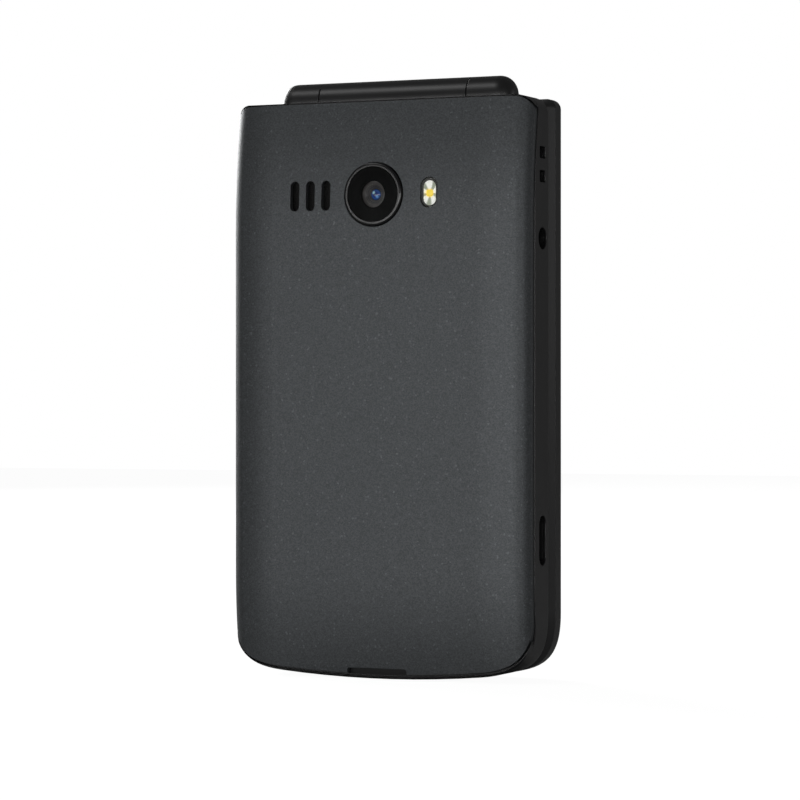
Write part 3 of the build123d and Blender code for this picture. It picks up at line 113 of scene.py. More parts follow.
def objectNoise(tree, scale, detail=2.0, stretch=(1, 1, 1)):
    # noise in the part's own coordinates, in turns per metre
    place = addNode(tree, "ShaderNodeTexCoord")
    mapping = addNode(tree, "ShaderNodeMapping")
    mapping.inputs["Scale"].default_value = stretch
    noise = addNode(tree, "ShaderNodeTexNoise")
    noise.inputs["Scale"].default_value = scale
    noise.inputs["Detail"].default_value = detail
    tree.links.new(place.outputs["Object"], mapping.inputs["Vector"])
    tree.links.new(mapping.outputs["Vector"], noise.inputs["Vector"])
    return noise.outputs["Fac"]


def rangeOf(tree, value, low, high, fromLow=0.0, fromHigh=1.0):
    node = addNode(tree, "ShaderNodeMapRange")
    node.inputs["From Min"].default_value = fromLow
    node.inputs["From Max"].default_value = fromHigh
    node.inputs["To Min"].default_value = low
    node.inputs["To Max"].default_value = high
    tree.links.new(value, node.inputs["Value"])
    return node.outputs["Result"]


def mixColours(tree, factor, first, second):
    # each colour is three numbers or another node's output
    node = addNode(tree, "ShaderNodeMix", data_type="RGBA")
    for slot, colour in ((6, first), (7, second)):
        if isinstance(colour, tuple):
            node.inputs[slot].default_value = (*colour, 1.0)
        else:
            tree.links.new(colour, node.inputs[slot])
    tree.links.new(factor, node.inputs[0])
    return node.outputs[2]


def calculate(tree, operation, first, second):
    node = addNode(tree, "ShaderNodeMath", operation=operation)
    for slot, value in enumerate((first, second)):
        if isinstance(value, (int, float)):
            node.inputs[slot].default_value = value
        else:
            tree.links.new(value, node.inputs[slot])
    return node.outputs[0]


def roundDistance(tree, centre, across=(1, 0, 1)):
    # distance from a line through centre, in metres, in the part's own coordinates
    place = addNode(tree, "ShaderNodeTexCoord")
    offset = addNode(tree, "ShaderNodeVectorMath", operation="SUBTRACT")
    offset.inputs[1].default_value = centre
    flat = addNode(tree, "ShaderNodeVectorMath", operation="MULTIPLY")
    flat.inputs[1].default_value = across
    size = addNode(tree, "ShaderNodeVectorMath", operation="LENGTH")
    tree.links.new(place.outputs["Object"], offset.inputs[0])
    tree.links.new(offset.outputs[0], flat.inputs[0])
    tree.links.new(flat.outputs[0], size.inputs[0])
    return size.outputs["Value"]


def boxMask(tree, centre, halfX, halfY, halfZ):
    # 1 inside a box in the part's own coordinates, 0 outside
    place = addNode(tree, "ShaderNodeTexCoord")
    split = addNode(tree, "ShaderNodeSeparateXYZ")
    tree.links.new(place.outputs["Object"], split.inputs[0])
    inside = 1.0
    for axis, half in zip("XYZ", (halfX, halfY, halfZ)):
        offset = calculate(tree, "SUBTRACT", split.outputs[axis], centre["XYZ".index(axis)])
        near = calculate(tree, "LESS_THAN", calculate(tree, "ABSOLUTE", offset, 0.0), half)
        inside = calculate(tree, "MULTIPLY", near, inside)
    return inside


def edgeNormal(tree, radius):
    # the normal that a hair of rounding gives an edge
    node = addNode(tree, "ShaderNodeBevel", samples=6)
    node.inputs["Radius"].default_value = radius
    return node.outputs["Normal"]


def edgeMask(tree, rounded):
    # 0 on faces and up to 1 on edges, which are painted paler as wear and as a painted highlight
    plain = addNode(tree, "ShaderNodeNewGeometry")
    dot = addNode(tree, "ShaderNodeVectorMath", operation="DOT_PRODUCT")
    tree.links.new(rounded, dot.inputs[0])
    tree.links.new(plain.outputs["Normal"], dot.inputs[1])
    return rangeOf(tree, dot.outputs["Value"], 1.0, 0.0, *edgeTurn)


def addBump(tree, shader, height, strength, distance, under=None):
    node = addNode(tree, "ShaderNodeBump")
    node.inputs["Strength"].default_value = strength
    node.inputs["Distance"].default_value = distance
    tree.links.new(height, node.inputs["Height"])
    if under is not None:
        tree.links.new(under, node.inputs["Normal"])
    tree.links.new(node.outputs["Normal"], shader.inputs["Normal"])


def scaled(colour, factor):
    return tuple(factor * c for c in colour)


def mouldedPlastic(
    name, colour, roughness,
    grain=moulding["grain"], depth=moulding["depth"], spread=moulding["spread"], edge=0.0,
):
    # moulded plastic: a fine grain, slight changes of sheen, and edges painted a little paler, as rubbed wear
    # and as a painted highlight
    material, tree, shader = newMaterial(name, colour, roughness)
    fine = objectNoise(tree, grain, 3.0)
    broad = objectNoise(tree, moulding["broadTurns"], 2.0)
    tree.links.new(rangeOf(tree, broad, roughness - spread, roughness + spread), shader.inputs["Roughness"])
    shade = mixColours(tree, broad, scaled(colour, moulding["darker"]), colour)
    rounded = None
    if edge:
        rounded = edgeNormal(tree, edge)
        # edges painted paler: partly wear, partly a painted highlight
        shade = mixColours(tree, edgeMask(tree, rounded), shade, scaled(colour, moulding["worn"]))
    tree.links.new(shade, shader.inputs["Base Color"])
    addBump(tree, shader, fine, moulding["bump"], depth, rounded)
    return material


def brushedMetal(name, colour, roughness, stretch=(1, 1, 30)):
    material, tree, shader = newMaterial(name, colour, roughness, 1.0)
    lines = objectNoise(tree, brushing["turns"], 3.0, stretch)
    smoothest, roughest = roughness - brushing["smoother"], roughness + brushing["rougher"]
    tree.links.new(rangeOf(tree, lines, smoothest, roughest), shader.inputs["Roughness"])
    shade = mixColours(tree, lines, scaled(colour, brushing["darker"]), colour)
    tree.links.new(shade, shader.inputs["Base Color"])
    addBump(tree, shader, lines, brushing["bump"], brushing["depth"])
    return material


def seeThrough(tree, shader, clearness):
    # a clear layer with a clean reflection, let in by the mask, over the shader elsewhere
    passing = addNode(tree, "ShaderNodeBsdfTransparent")
    mirror = addNode(tree, "ShaderNodeBsdfGlossy")
    mirror.inputs["Roughness"].default_value = clearCoat["gloss"]
    # more gloss at a slant, alike on both faces, where Fresnel would make the inner face a full mirror
    weight = addNode(tree, "ShaderNodeLayerWeight")
    slant = calculate(tree, "POWER", weight.outputs["Facing"], clearCoat["power"])
    clear = addNode(tree, "ShaderNodeMixShader")
    tree.links.new(rangeOf(tree, slant, clearCoat["straight"], 1.0), clear.inputs[0])
    tree.links.new(passing.outputs[0], clear.inputs[1])
    tree.links.new(mirror.outputs[0], clear.inputs[2])
    whole = addNode(tree, "ShaderNodeMixShader")
    if isinstance(clearness, float):
        whole.inputs[0].default_value = clearness
    else:
        tree.links.new(clearness, whole.inputs[0])
    tree.links.new(shader.outputs[0], whole.inputs[1])
    tree.links.new(clear.outputs[0], whole.inputs[2])
    tree.links.new(whole.outputs[0], tree.nodes["Material Output"].inputs["Surface"])


def paint(node, material):
    mesh = nodes[node].data
    mesh.materials.clear()
    mesh.materials.append(material)


# mesh tools for the pieces

def pieceFromMesh(name, build, body, material, smooth=False):
    mesh = bpy.data.meshes.new(name)
    shape = bmesh.new()
    build(shape)
    bmesh.ops.recalc_face_normals(shape, faces=shape.faces)
    shape.to_mesh(mesh)
    shape.free()
    for face in mesh.polygons:
        face.use_smooth = smooth
    return pieceOf(name, mesh, body, material)


def pieceOf(name, mesh, body, material):
    piece = bpy.data.objects.new(name, mesh)
    bpy.context.scene.collection.objects.link(piece)
    mesh.materials.append(material)
    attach(piece, body)
    return piece


def addPrism(shape, points, place, low, high):
    # a flat shape given by its corners, between two levels
    rings = [[shape.verts.new(place(u, v, level)) for u, v in points] for level in (low, high)]
    shape.faces.new(rings[0])
    shape.faces.new(rings[1])
    for first in range(len(points)):
        second = (first + 1) % len(points)
        shape.faces.new((rings[0][first], rings[0][second], rings[1][second], rings[1][first]))


def addBar(shape, start, end, width, place, low, high):
    run = Vector(end) - Vector(start)
    side = Vector((-run.y, run.x)).normalized() * width / 2
    corners = [Vector(start) + side, Vector(end) + side, Vector(end) - side, Vector(start) - side]
    addPrism(shape, [tuple(corner) for corner in corners], place, low, high)


def addRing(shape, radius, width, place, low, high, turns=40):
    # a flat ring, made of four loops of corners
    loops = []
    angles = [2 * math.pi * t / turns for t in range(turns)]
    for size, level in ((radius, low), (radius, high), (radius - width, high), (radius - width, low)):
        loops.append([shape.verts.new(place(size * math.cos(a), size * math.sin(a), level)) for a in angles])
    for first, second in zip(loops, loops[1:] + loops[:1]):
        joinLoops(shape, first, second)


def joinLoops(shape, first, second):
    count = len(first)
    for t in range(count):
        shape.faces.new((first[t], first[(t + 1) % count], second[(t + 1) % count], second[t]))


def roundedCorners(width, height, radius, steps=6):
    points = []
    for cx, cy, start in ((1, 1, 0), (-1, 1, 90), (-1, -1, 180), (1, -1, 270)):
        for step in range(steps + 1):
            angle = math.radians(start + 90 * step / steps)
            points.append((
                cx * (width / 2 - radius) + radius * math.cos(angle),
                cy * (height / 2 - radius) + radius * math.sin(angle),
            ))
    return points


def turnProfile(shape, profile, centre, segments=64):
    # turns a profile of (radius, y) about the Y axis through centre
    loops = []
    for radius, depth in profile:
        if radius < 1e-7:
            loops.append([shape.verts.new((centre[0], depth, centre[2]))])
        else:
            loops.append([
                shape.verts.new((
                    centre[0] + radius * math.cos(2 * math.pi * t / segments), depth,
                    centre[2] + radius * math.sin(2 * math.pi * t / segments),
                ))
                for t in range(segments)
            ])
    for first, second in zip(loops, loops[1:]):
        for t in range(segments):
            after = (t + 1) % segments
            if len(first) == 1:
                shape.faces.new((first[0], second[after], second[t]))
            elif len(second) == 1:
                shape.faces.new((first[t], first[after], second[0]))
            else:
                shape.faces.new((first[t], first[after], second[after], second[t]))


# floor, backdrop and soft lamps

studio = {
    "floorSize": 3.0,
    "floorColour": (0.86, 0.86, 0.86),
    "floorBounce": (0.34, 0.34, 0.34),
    "floorRoughness": 0.9,
    "floorShine": 0.1,
    "paperTurns": 400,
    "paperShade": 0.985,
    "floorGlow": 0.78,
    "glowStrength": 1.22,
    "worldLight": 0.10,
    "lamps": {
        # name: place, aim, width, height, watts
        "front": ((0.04, -0.90, 0.055), (0.02, 0, 0.055), 1.2, 0.11, 3.3),
        "right": ((0.75, -0.50, 0.10), (0, 0, 0.055), 0.25, 0.18, 0.8),
        "edge": ((0.70, 0.50, 0.14), (0, 0, 0.055), 0.22, 0.24, 0.24),
        "above": ((-0.36, -0.42, 0.85), (0, 0, 0.10), 0.6, 0.25, 1.25),
        "keypad": ((-0.88, 0.50, 0.42), (0, 0, 0.08), 0.6, 0.5, 9.0),
    },
}


def buildFloor():
    mesh = bpy.data.meshes.new("floor")
    half = studio["floorSize"] / 2
    corners = [(-half, -half, 0), (half, -half, 0), (half, half, 0), (-half, half, 0)]
    mesh.from_pydata(corners, [], [(0, 1, 2, 3)])
    floor = bpy.data.objects.new("floor", mesh)
    bpy.context.scene.collection.objects.link(floor)
    material, tree, shader = newMaterial("floorPaper", studio["floorColour"], studio["floorRoughness"])
    shader.inputs["Specular IOR Level"].default_value = studio["floorShine"]
    paper = objectNoise(tree, studio["paperTurns"], 2.0)
    pale = studio["floorColour"]
    rays = addNode(tree, "ShaderNodeLightPath")
    seen = rays.outputs["Is Camera Ray"]
    paperColour = mixColours(tree, paper, scaled(pale, studio["paperShade"]), pale)
    tree.links.new(mixColours(tree, seen, studio["floorBounce"], paperColour), shader.inputs["Base Color"])
    glow = addNode(tree, "ShaderNodeEmission")
    glow.inputs["Strength"].default_value = studio["glowStrength"]
    blend = addNode(tree, "ShaderNodeMixShader")
    tree.links.new(rangeOf(tree, seen, 0.0, studio["floorGlow"]), blend.inputs[0])
    tree.links.new(shader.outputs[0], blend.inputs[1])
    tree.links.new(glow.outputs[0], blend.inputs[2])
    tree.links.new(blend.outputs[0], tree.nodes["Material Output"].inputs["Surface"])
    mesh.materials.append(material)


def buildLights():
    world = bpy.data.worlds.new("studioWorld")
    bpy.context.scene.world = world
    world.use_nodes = True
    tree = world.node_tree
    backdrop = tree.nodes["Background"]
    backdrop.inputs["Color"].default_value = (1, 1, 1, 1)
    rays = addNode(tree, "ShaderNodeLightPath")
    strength = rangeOf(tree, rays.outputs["Is Camera Ray"], studio["worldLight"], 1.0)
    tree.links.new(strength, backdrop.inputs["Strength"])
    for name, (place, aim, width, height, watts) in studio["lamps"].items():
        lampData = bpy.data.lights.new(name, "AREA")
        lampData.shape = "RECTANGLE"
        lampData.size = width
        lampData.size_y = height
        lampData.energy = watts
        lamp = bpy.data.objects.new(name, lampData)
        lamp.location = place
        lamp.rotation_mode = "QUATERNION"
        lamp.rotation_quaternion = (Vector(aim) - Vector(place)).to_track_quat("-Z", "Y")
        bpy.context.scene.collection.objects.link(lamp)


placeCamera()
buildFloor()
buildLights()
print("camera and studio set")

# battery cover: dark metallic paint with fine bright flakes in a satin coat

cover = {
    "colour": (0.074, 0.079, 0.083), "gloss": 0.50, "glossSpread": 0.05, "metal": 0.70,
    "flakeTurns": 5200, "paleFlake": 1.22, "darkFlake": 0.80,
    "sparkTurns": 3300, "sparkFrom": 0.965, "spark": 1.6,
    # edge rounding, and how much paler the edges are painted, as wear and as a painted highlight
    "edge": 0.15 * mm, "worn": 1.5,
    "grainTurns": 4000, "grainBump": 0.35, "grainDepth": 0.000006,
}


def coverPaint():
    colour = cover["colour"]
    material, tree, shader = newMaterial("coverPaint", colour, cover["gloss"], cover["metal"])
    place = addNode(tree, "ShaderNodeTexCoord")
    flakes = addNode(tree, "ShaderNodeTexVoronoi", feature="F1")
    flakes.inputs["Scale"].default_value = cover["flakeTurns"]
    tree.links.new(place.outputs["Object"], flakes.inputs["Vector"])
    split = addNode(tree, "ShaderNodeSeparateColor")
    tree.links.new(flakes.outputs["Color"], split.inputs["Color"])
    rounded = edgeNormal(tree, cover["edge"])
    dark, light = scaled(colour, cover["darkFlake"]), scaled(colour, cover["paleFlake"])
    shade = mixColours(tree, split.outputs["Red"], dark, light)
    sparks = addNode(tree, "ShaderNodeTexVoronoi", feature="F1")
    sparks.inputs["Scale"].default_value = cover["sparkTurns"]
    tree.links.new(place.outputs["Object"], sparks.inputs["Vector"])
    few = addNode(tree, "ShaderNodeSeparateColor")
    tree.links.new(sparks.outputs["Color"], few.inputs["Color"])
    sparkMask = rangeOf(tree, few.outputs["Blue"], 0.0, 1.0, cover["sparkFrom"], 1.0)
    shade = mixColours(tree, sparkMask, shade, scaled(colour, cover["spark"]))
    # edges painted paler, as wear and as a painted highlight
    shade = mixColours(tree, edgeMask(tree, rounded), shade, scaled(colour, cover["worn"]))
    tree.links.new(shade, shader.inputs["Base Color"])
    lowGloss, highGloss = cover["gloss"] - cover["glossSpread"], cover["gloss"] + cover["glossSpread"]
    gloss = rangeOf(tree, split.outputs["Green"], lowGloss, highGloss)
    tree.links.new(gloss, shader.inputs["Roughness"])
    grain = objectNoise(tree, cover["grainTurns"], 2.0)
    addBump(tree, shader, grain, cover["grainBump"], cover["grainDepth"], rounded)
    return material


# finishes of the other parts

plastics = {
    # name: colour, roughness, rounding of the edges, which also sets the band painted paler along them as wear
    # and painted highlight
    "body": ((0.0105, 0.0104, 0.0108), 0.36, 0.30 * mm),
    "lid": ((0.0115, 0.0114, 0.0118), 0.34, 0.15 * mm),
    "keypad": ((0.009, 0.009, 0.0095), 0.42, 0.05 * mm),
    "key": ((0.014, 0.014, 0.015), 0.33, 0.08 * mm),
    "blackGloss": ((0.004, 0.004, 0.0042), 0.22, 0.1 * mm),
    "blackMatt": ((0.006, 0.006, 0.006), 0.6, 0.0),
    "weave": ((0.0025, 0.0025, 0.0025), 0.75, 0.0),
    "rubber": ((0.012, 0.012, 0.012), 0.8, 0.0),
    "wrap": ((0.022, 0.022, 0.024), 0.5, 0.1 * mm),
    "flexFilm": ((0.33, 0.15, 0.03), 0.3, 0.0),
    "domeFilm": ((0.45, 0.46, 0.48), 0.3, 0.0),
    "legend": ((0.62, 0.63, 0.64), 0.45, 0.0),
    "green": ((0.03, 0.42, 0.10), 0.45, 0.0),
    "red": ((0.50, 0.03, 0.02), 0.45, 0.0),
    "marks": ((0.10, 0.10, 0.105), 0.5, 0.0),
    "label": ((0.30, 0.30, 0.31), 0.42, 0.0),
    "stripe": ((0.035, 0.06, 0.10), 0.42, 0.0),
}
metals = {
    "steel": ((0.52, 0.52, 0.53), 0.28, (1, 1, 30)),
    "screw": ((0.08, 0.08, 0.085), 0.35, (30, 1, 1)),
    "brass": ((0.75, 0.53, 0.22), 0.25, (1, 1, 30)),
    "ring": ((0.30, 0.30, 0.31), 0.30, (1, 1, 1)),
}
glass = {
    "colour": (0.0022, 0.0022, 0.0026), "roughness": 0.05, "screen": (0.009, 0.010, 0.013), "screenGloss": 0.12,
    "smearTurns": 90, "cleaner": 0.02, "smeared": 0.05, "waveTurns": 40, "waveBump": 0.2, "waveDepth": 0.000002,
    "outerEdge": 0.6 * mm, "innerEdge": 1.2 * mm, "filmTurns": 3000, "filmDepth": 0.000001, "filmSpread": 0.02,
}
board = {
    "colour": (0.012, 0.075, 0.035), "line": (0.03, 0.14, 0.06), "lines": 900, "offset": 0.3, "squash": 0.6,
    "roughness": 0.35, "bump": 0.3, "depth": 0.00002,
}
socket = {
    "colour": (0.035, 0.035, 0.036), "roughness": 0.4, "shine": (0.05, 0.05, 0.052),
    "tongue": (0.004, 0.004, 0.004), "tongueHalfWidth": 0.4 * mm, "tongueHalfLength": 3.4 * mm,
    "grain": 3000, "bump": 0.3, "depth": 0.000003,
}
wholeDepth = 1.0  # larger than the part, for masks that pass right through


def darkGlass(name, screenNode, edge):
    # black-printed window with a slightly paler clear area over its display
    material, tree, shader = newMaterial(name, glass["colour"], glass["roughness"])
    low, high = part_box(screenNode)
    centre = (low + high) / 2
    mask = boxMask(tree, centre, (high.x - low.x) / 2 - edge, wholeDepth, (high.z - low.z) / 2 - edge)
    tree.links.new(mixColours(tree, mask, glass["colour"], glass["screen"]), shader.inputs["Base Color"])
    smear = objectNoise(tree, glass["smearTurns"], 3.0)
    clean, smeared = glass["roughness"] - glass["cleaner"], glass["roughness"] + glass["smeared"]
    tree.links.new(rangeOf(tree, smear, clean, smeared), shader.inputs["Roughness"])
    addBump(tree, shader, objectNoise(tree, glass["waveTurns"], 1.0), glass["waveBump"], glass["waveDepth"])
    return material


def boardMaterial():
    # solder mask with paler copper runs under it
    material, tree, shader = newMaterial("boardMask", board["colour"], board["roughness"])
    place = addNode(tree, "ShaderNodeTexCoord")
    runs = addNode(tree, "ShaderNodeTexBrick", offset=board["offset"], squash=board["squash"])
    runs.inputs["Scale"].default_value = board["lines"]
    tree.links.new(place.outputs["Object"], runs.inputs["Vector"])
    shade = mixColours(tree, runs.outputs["Fac"], board["colour"], board["line"])
    tree.links.new(shade, shader.inputs["Base Color"])
    addBump(tree, shader, runs.outputs["Fac"], board["bump"], board["depth"])
    return material


def socketMetal():
    # dull metal shell with a black tongue inside
    material, tree, shader = newMaterial("socketMetal", socket["colour"], socket["roughness"], 1.0)
    centre = middle("usb_socket")
    tongue = boxMask(tree, centre, wholeDepth, socket["tongueHalfWidth"], socket["tongueHalfLength"])
    tree.links.new(mixColours(tree, tongue, socket["shine"], socket["tongue"]), shader.inputs["Base Color"])
    tree.links.new(rangeOf(tree, tongue, 1.0, 0.0), shader.inputs["Metallic"])
    addBump(tree, shader, objectNoise(tree, socket["grain"], 2.0), socket["bump"], socket["depth"])
    return material


finish = {"cover": coverPaint(), "board": boardMaterial(), "socket": socketMetal()}
for name, (colour, roughness, edge) in plastics.items():
    finish[name] = mouldedPlastic(name + "Plastic", colour, roughness, edge=edge)
for name, (colour, roughness, stretch) in metals.items():
    finish[name] = brushedMetal(name + "Metal", colour, roughness, stretch)
finish["outerGlass"] = darkGlass("outerGlass", "outer_display", glass["outerEdge"])
finish["innerGlass"] = darkGlass("innerGlass", "main_display", glass["innerEdge"])
finish["screen"] = mouldedPlastic(
    "screenFilm", glass["screen"], glass["screenGloss"],
    glass["filmTurns"], glass["filmDepth"], glass["filmSpread"],
)

finishOfNode = {
    "battery_cover": "cover", "rear_housing": "body", "keypad_frame": "keypad", "camera_bezel": "blackGloss",
    "speaker": "blackMatt", "battery": "wrap", "battery_contacts": "brass", "main_board": "board",
    "shield_cans": "steel", "keypad_board": "board", "dome_sheet": "domeFilm", "usb_socket": "socket",
    "headphone_socket": "blackMatt", "vibration_motor": "steel", "microphone": "steel", "card_holder": "steel",
    "housing_screws": "screw", "antenna": "blackMatt", "hinge_cartridge": "steel", "hinge_bush": "steel",
    "lid_frame": "lid", "lid_cover": "lid", "earpiece": "blackMatt", "lid_magnet": "steel",
    "lid_bumpers": "rubber", "lid_screws": "screw", "hinge_cam": "steel", "hinge_flex": "flexFilm",
    "outer_window": "outerGlass", "inner_window": "innerGlass", "outer_display": "screen",
    "main_display": "screen", "key_ring": "ring", "speaker_mesh": "blackMatt", "earpiece_mesh": "blackMatt",
}
for node in nodes:
    paint(node, finish[finishOfNode.get(node, "key")])
print("finishes given")

# camera eye: black-printed window with a clear middle, stepped rings with painted shade in the well, and a
# coated lens with painted glints

eye = {
    "clearRadius": 2.45 * mm,
    "blur": 0.03 * mm,
    "windowColour": (0.0022, 0.0024, 0.0024),
    "windowRoughness": 0.06, "windowHaze": (0.05, 0.09), "hazeTurns": 300, "windowShine": 0.3,
    # radius and depth of each corner of the rings, in mm
    "steps": (
        (2.12, 0.10), (1.90, 0.10), (1.90, 0.30), (1.62, 0.30),
        (1.62, 0.50), (1.32, 0.50), (1.32, 0.68), (1.05, 0.68),
    ),
    "stepColour": (0.030, 0.026, 0.024),
    "stepGloss": 0.32,
    # the well round the lens is painted near black as shade, out to the radius below
    "wellColour": (0.0035, 0.0035, 0.004),
    "wellRadius": 1.60 * mm,
    "wellFade": 0.22 * mm,
    "lensRadius": 1.03 * mm,
    "lensRise": 0.36 * mm,
    "lensDepth": 0.78 * mm,
    "lensLoops": 12,
    "lensColour": (0.01, 0.05, 0.2), "lensRoughness": 0.05, "coat": 0.6, "coatRoughness": 0.02,
    # share of the radius and colour, from the middle outwards
    "lensColours": (
        (0.0, (0.002, 0.008, 0.07)), (0.45, (0.006, 0.035, 0.22)),
        (0.75, (0.02, 0.10, 0.42)), (0.98, (0.004, 0.012, 0.04)),
    ),
    # painted glints, pale spots of reflected light painted on the coating: offset to the right, offset upwards,
    # radius in mm, colour
    "glints": ((-0.38, 0.36, 0.36, (0.55, 0.90, 1.0)), (0.30, -0.38, 0.34, (0.20, 0.50, 0.95))),
    "glintCore": 0.4,
}


def windowMaterial():
    material, tree, shader = newMaterial("cameraWindow", eye["windowColour"], eye["windowRoughness"])
    shader.inputs["Specular IOR Level"].default_value = eye["windowShine"]
    distance = roundDistance(tree, middle("camera_window"))
    inner, outer = eye["clearRadius"] - eye["blur"], eye["clearRadius"] + eye["blur"]
    mask = rangeOf(tree, distance, 1.0, 0.0, inner, outer)
    haze = objectNoise(tree, eye["hazeTurns"], 2.0)
    tree.links.new(rangeOf(tree, haze, *eye["windowHaze"]), shader.inputs["Roughness"])
    seeThrough(tree, shader, mask)
    return material


def lensMaterial():
    material, tree, shader = newMaterial("lensCoating", eye["lensColour"], eye["lensRoughness"])
    shader.inputs["Coat Weight"].default_value = eye["coat"]
    shader.inputs["Coat Roughness"].default_value = eye["coatRoughness"]
    away = roundDistance(tree, middle("camera_window"))
    distance = rangeOf(tree, away, 0.0, 1.0, 0.0, eye["lensRadius"])
    bands = addNode(tree, "ShaderNodeValToRGB")
    ramp = bands.color_ramp
    while len(ramp.elements) < len(eye["lensColours"]):
        ramp.elements.new(0.5)
    for element, (position, colour) in zip(ramp.elements, eye["lensColours"]):
        element.position = position
        element.color = (*colour, 1.0)
    tree.links.new(distance, bands.inputs[0])
    shade = bands.outputs["Color"]
    # painted glints: pale spots of reflected light laid over the lens colour
    for right, up, radius, colour in eye["glints"]:
        away = roundDistance(tree, middle("camera_window") + Vector((right * mm, 0, up * mm)))
        mask = rangeOf(tree, away, 1.0, 0.0, eye["glintCore"] * radius * mm, radius * mm)
        shade = mixColours(tree, mask, shade, colour)
    tree.links.new(shade, shader.inputs["Base Color"])
    return material


def stepMaterial():
    # painted light and shade: the outer steps keep a paler grey as if lit, and the well round the lens is
    # painted black as its shade
    material, tree, shader = newMaterial("cameraSteps", eye["stepColour"], eye["stepGloss"])
    distance = roundDistance(tree, middle("camera_window"))
    mask = rangeOf(tree, distance, 0.0, 1.0, eye["wellRadius"], eye["wellRadius"] + eye["wellFade"])
    tree.links.new(mixColours(tree, mask, eye["wellColour"], eye["stepColour"]), shader.inputs["Base Color"])
    addBump(tree, shader, objectNoise(tree, moulding["grain"], 3.0), moulding["bump"], moulding["depth"])
    return material


def buildEye():
    centre = middle("camera_window")
    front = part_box("camera_module")[0].y
    paint("camera_window", windowMaterial())
    barrel = stepMaterial()
    paint("camera_module", barrel)

    def steps(shape):
        profile = [(radius * mm, front + depth * mm) for radius, depth in eye["steps"]]
        turnProfile(shape, profile, centre)

    pieceFromMesh("cameraSteps", steps, "base", barrel)

    def lens(shape):
        edge = front + eye["lensDepth"]
        profile = []
        for step in range(eye["lensLoops"] + 1):
            share = step / eye["lensLoops"]
            profile.append((eye["lensRadius"] * share, edge - eye["lensRise"] * (1 - share * share)))
        turnProfile(shape, profile, centre)

    pieceFromMesh("cameraLens", lens, "base", lensMaterial(), smooth=True)


buildEye()

# flash: a clear cap in a black frame over a ribbed white bowl with a yellow chip in its middle; bowl and chip
# glow with painted light

flash = {
    # sizes in mm, depths from the back's crown, and lensDrop is how deep the plain lens lies below it
    "turns": 48, "margin": 0.04, "side": -0.22, "low": 0.10, "lensDrop": 0.20,
    "capFront": 0.26, "capBack": 0.50, "capEdge": ((0.10, 0.0), (0.03, 0.03), (0.0, 0.10)),
    "frameSink": 0.02, "frameBack": 0.66, "frameFlare": 0.1, "opening": (2.4, 4.5),
    "bowlFront": 0.64, "bowlDepth": 0.50, "bowlShares": (0.0, 0.15, 0.4, 0.7, 1.0), "floor": (1.3, 1.5),
    "ribs": 20, "ribDepth": 0.10,
    # side and rise of each layer of the chip, and its corner as a share of the side
    "cushion": ((1.25, 0.0), (1.2, 0.08), (1.0, 0.14), (0.6, 0.17)), "cushionCorner": 0.25, "cushionSteps": 4,
    # looks of the bowl: painted rays of light and grey shade for the ribs' reflections, a painted yellow glow
    # from the chip round its middle, and a painted glow over all
    "white": (0.86, 0.87, 0.83), "grey": (0.30, 0.33, 0.26), "yellow": (0.95, 0.70, 0.04), "bowlRoughness": 0.3,
    "rays": 5, "rayBand": (-0.75, 0.15), "yellowRadius": 0.62, "whiteRadius": 1.25, "glow": 0.45,
    "raggedTurns": 2500, "raggedReach": 0.5,
    # looks of the cap, the chip and the cup behind them
    "capColour": (0.8, 0.8, 0.76), "capRoughness": 0.1, "clearness": 0.96,
    "waveTurns": 1500, "waveStretch": (3, 1, 0.4), "waveBump": 0.2, "waveDepth": 0.00001,
    "chipRoughness": 0.35, "chipTurns": 4000, "chipBump": 0.3, "chipDepth": 0.00002,
    "cup": (0.42, 0.43, 0.40), "cupRoughness": 0.3,
}


def cadBack():
    # where the back's crown would lie without the proud camera ring
    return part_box("flash_lens")[0].y - flash["lensDrop"] * mm


def stadiumPoint(length, width, angle):
    # where a ray from the middle meets a long round-ended outline
    radius = width / 2
    straight = (length - width) / 2
    dx, dz = math.cos(angle), math.sin(angle)
    if abs(dx) > 1e-9 and abs(dz / dx) * radius <= straight:
        return radius * (1 if dx > 0 else -1), abs(dz / dx) * radius * (1 if dz > 0 else -1)
    reach = straight * abs(dz)
    distance = reach + math.sqrt(max(reach * reach - straight * straight + radius * radius, 0.0))
    return distance * dx, distance * dz


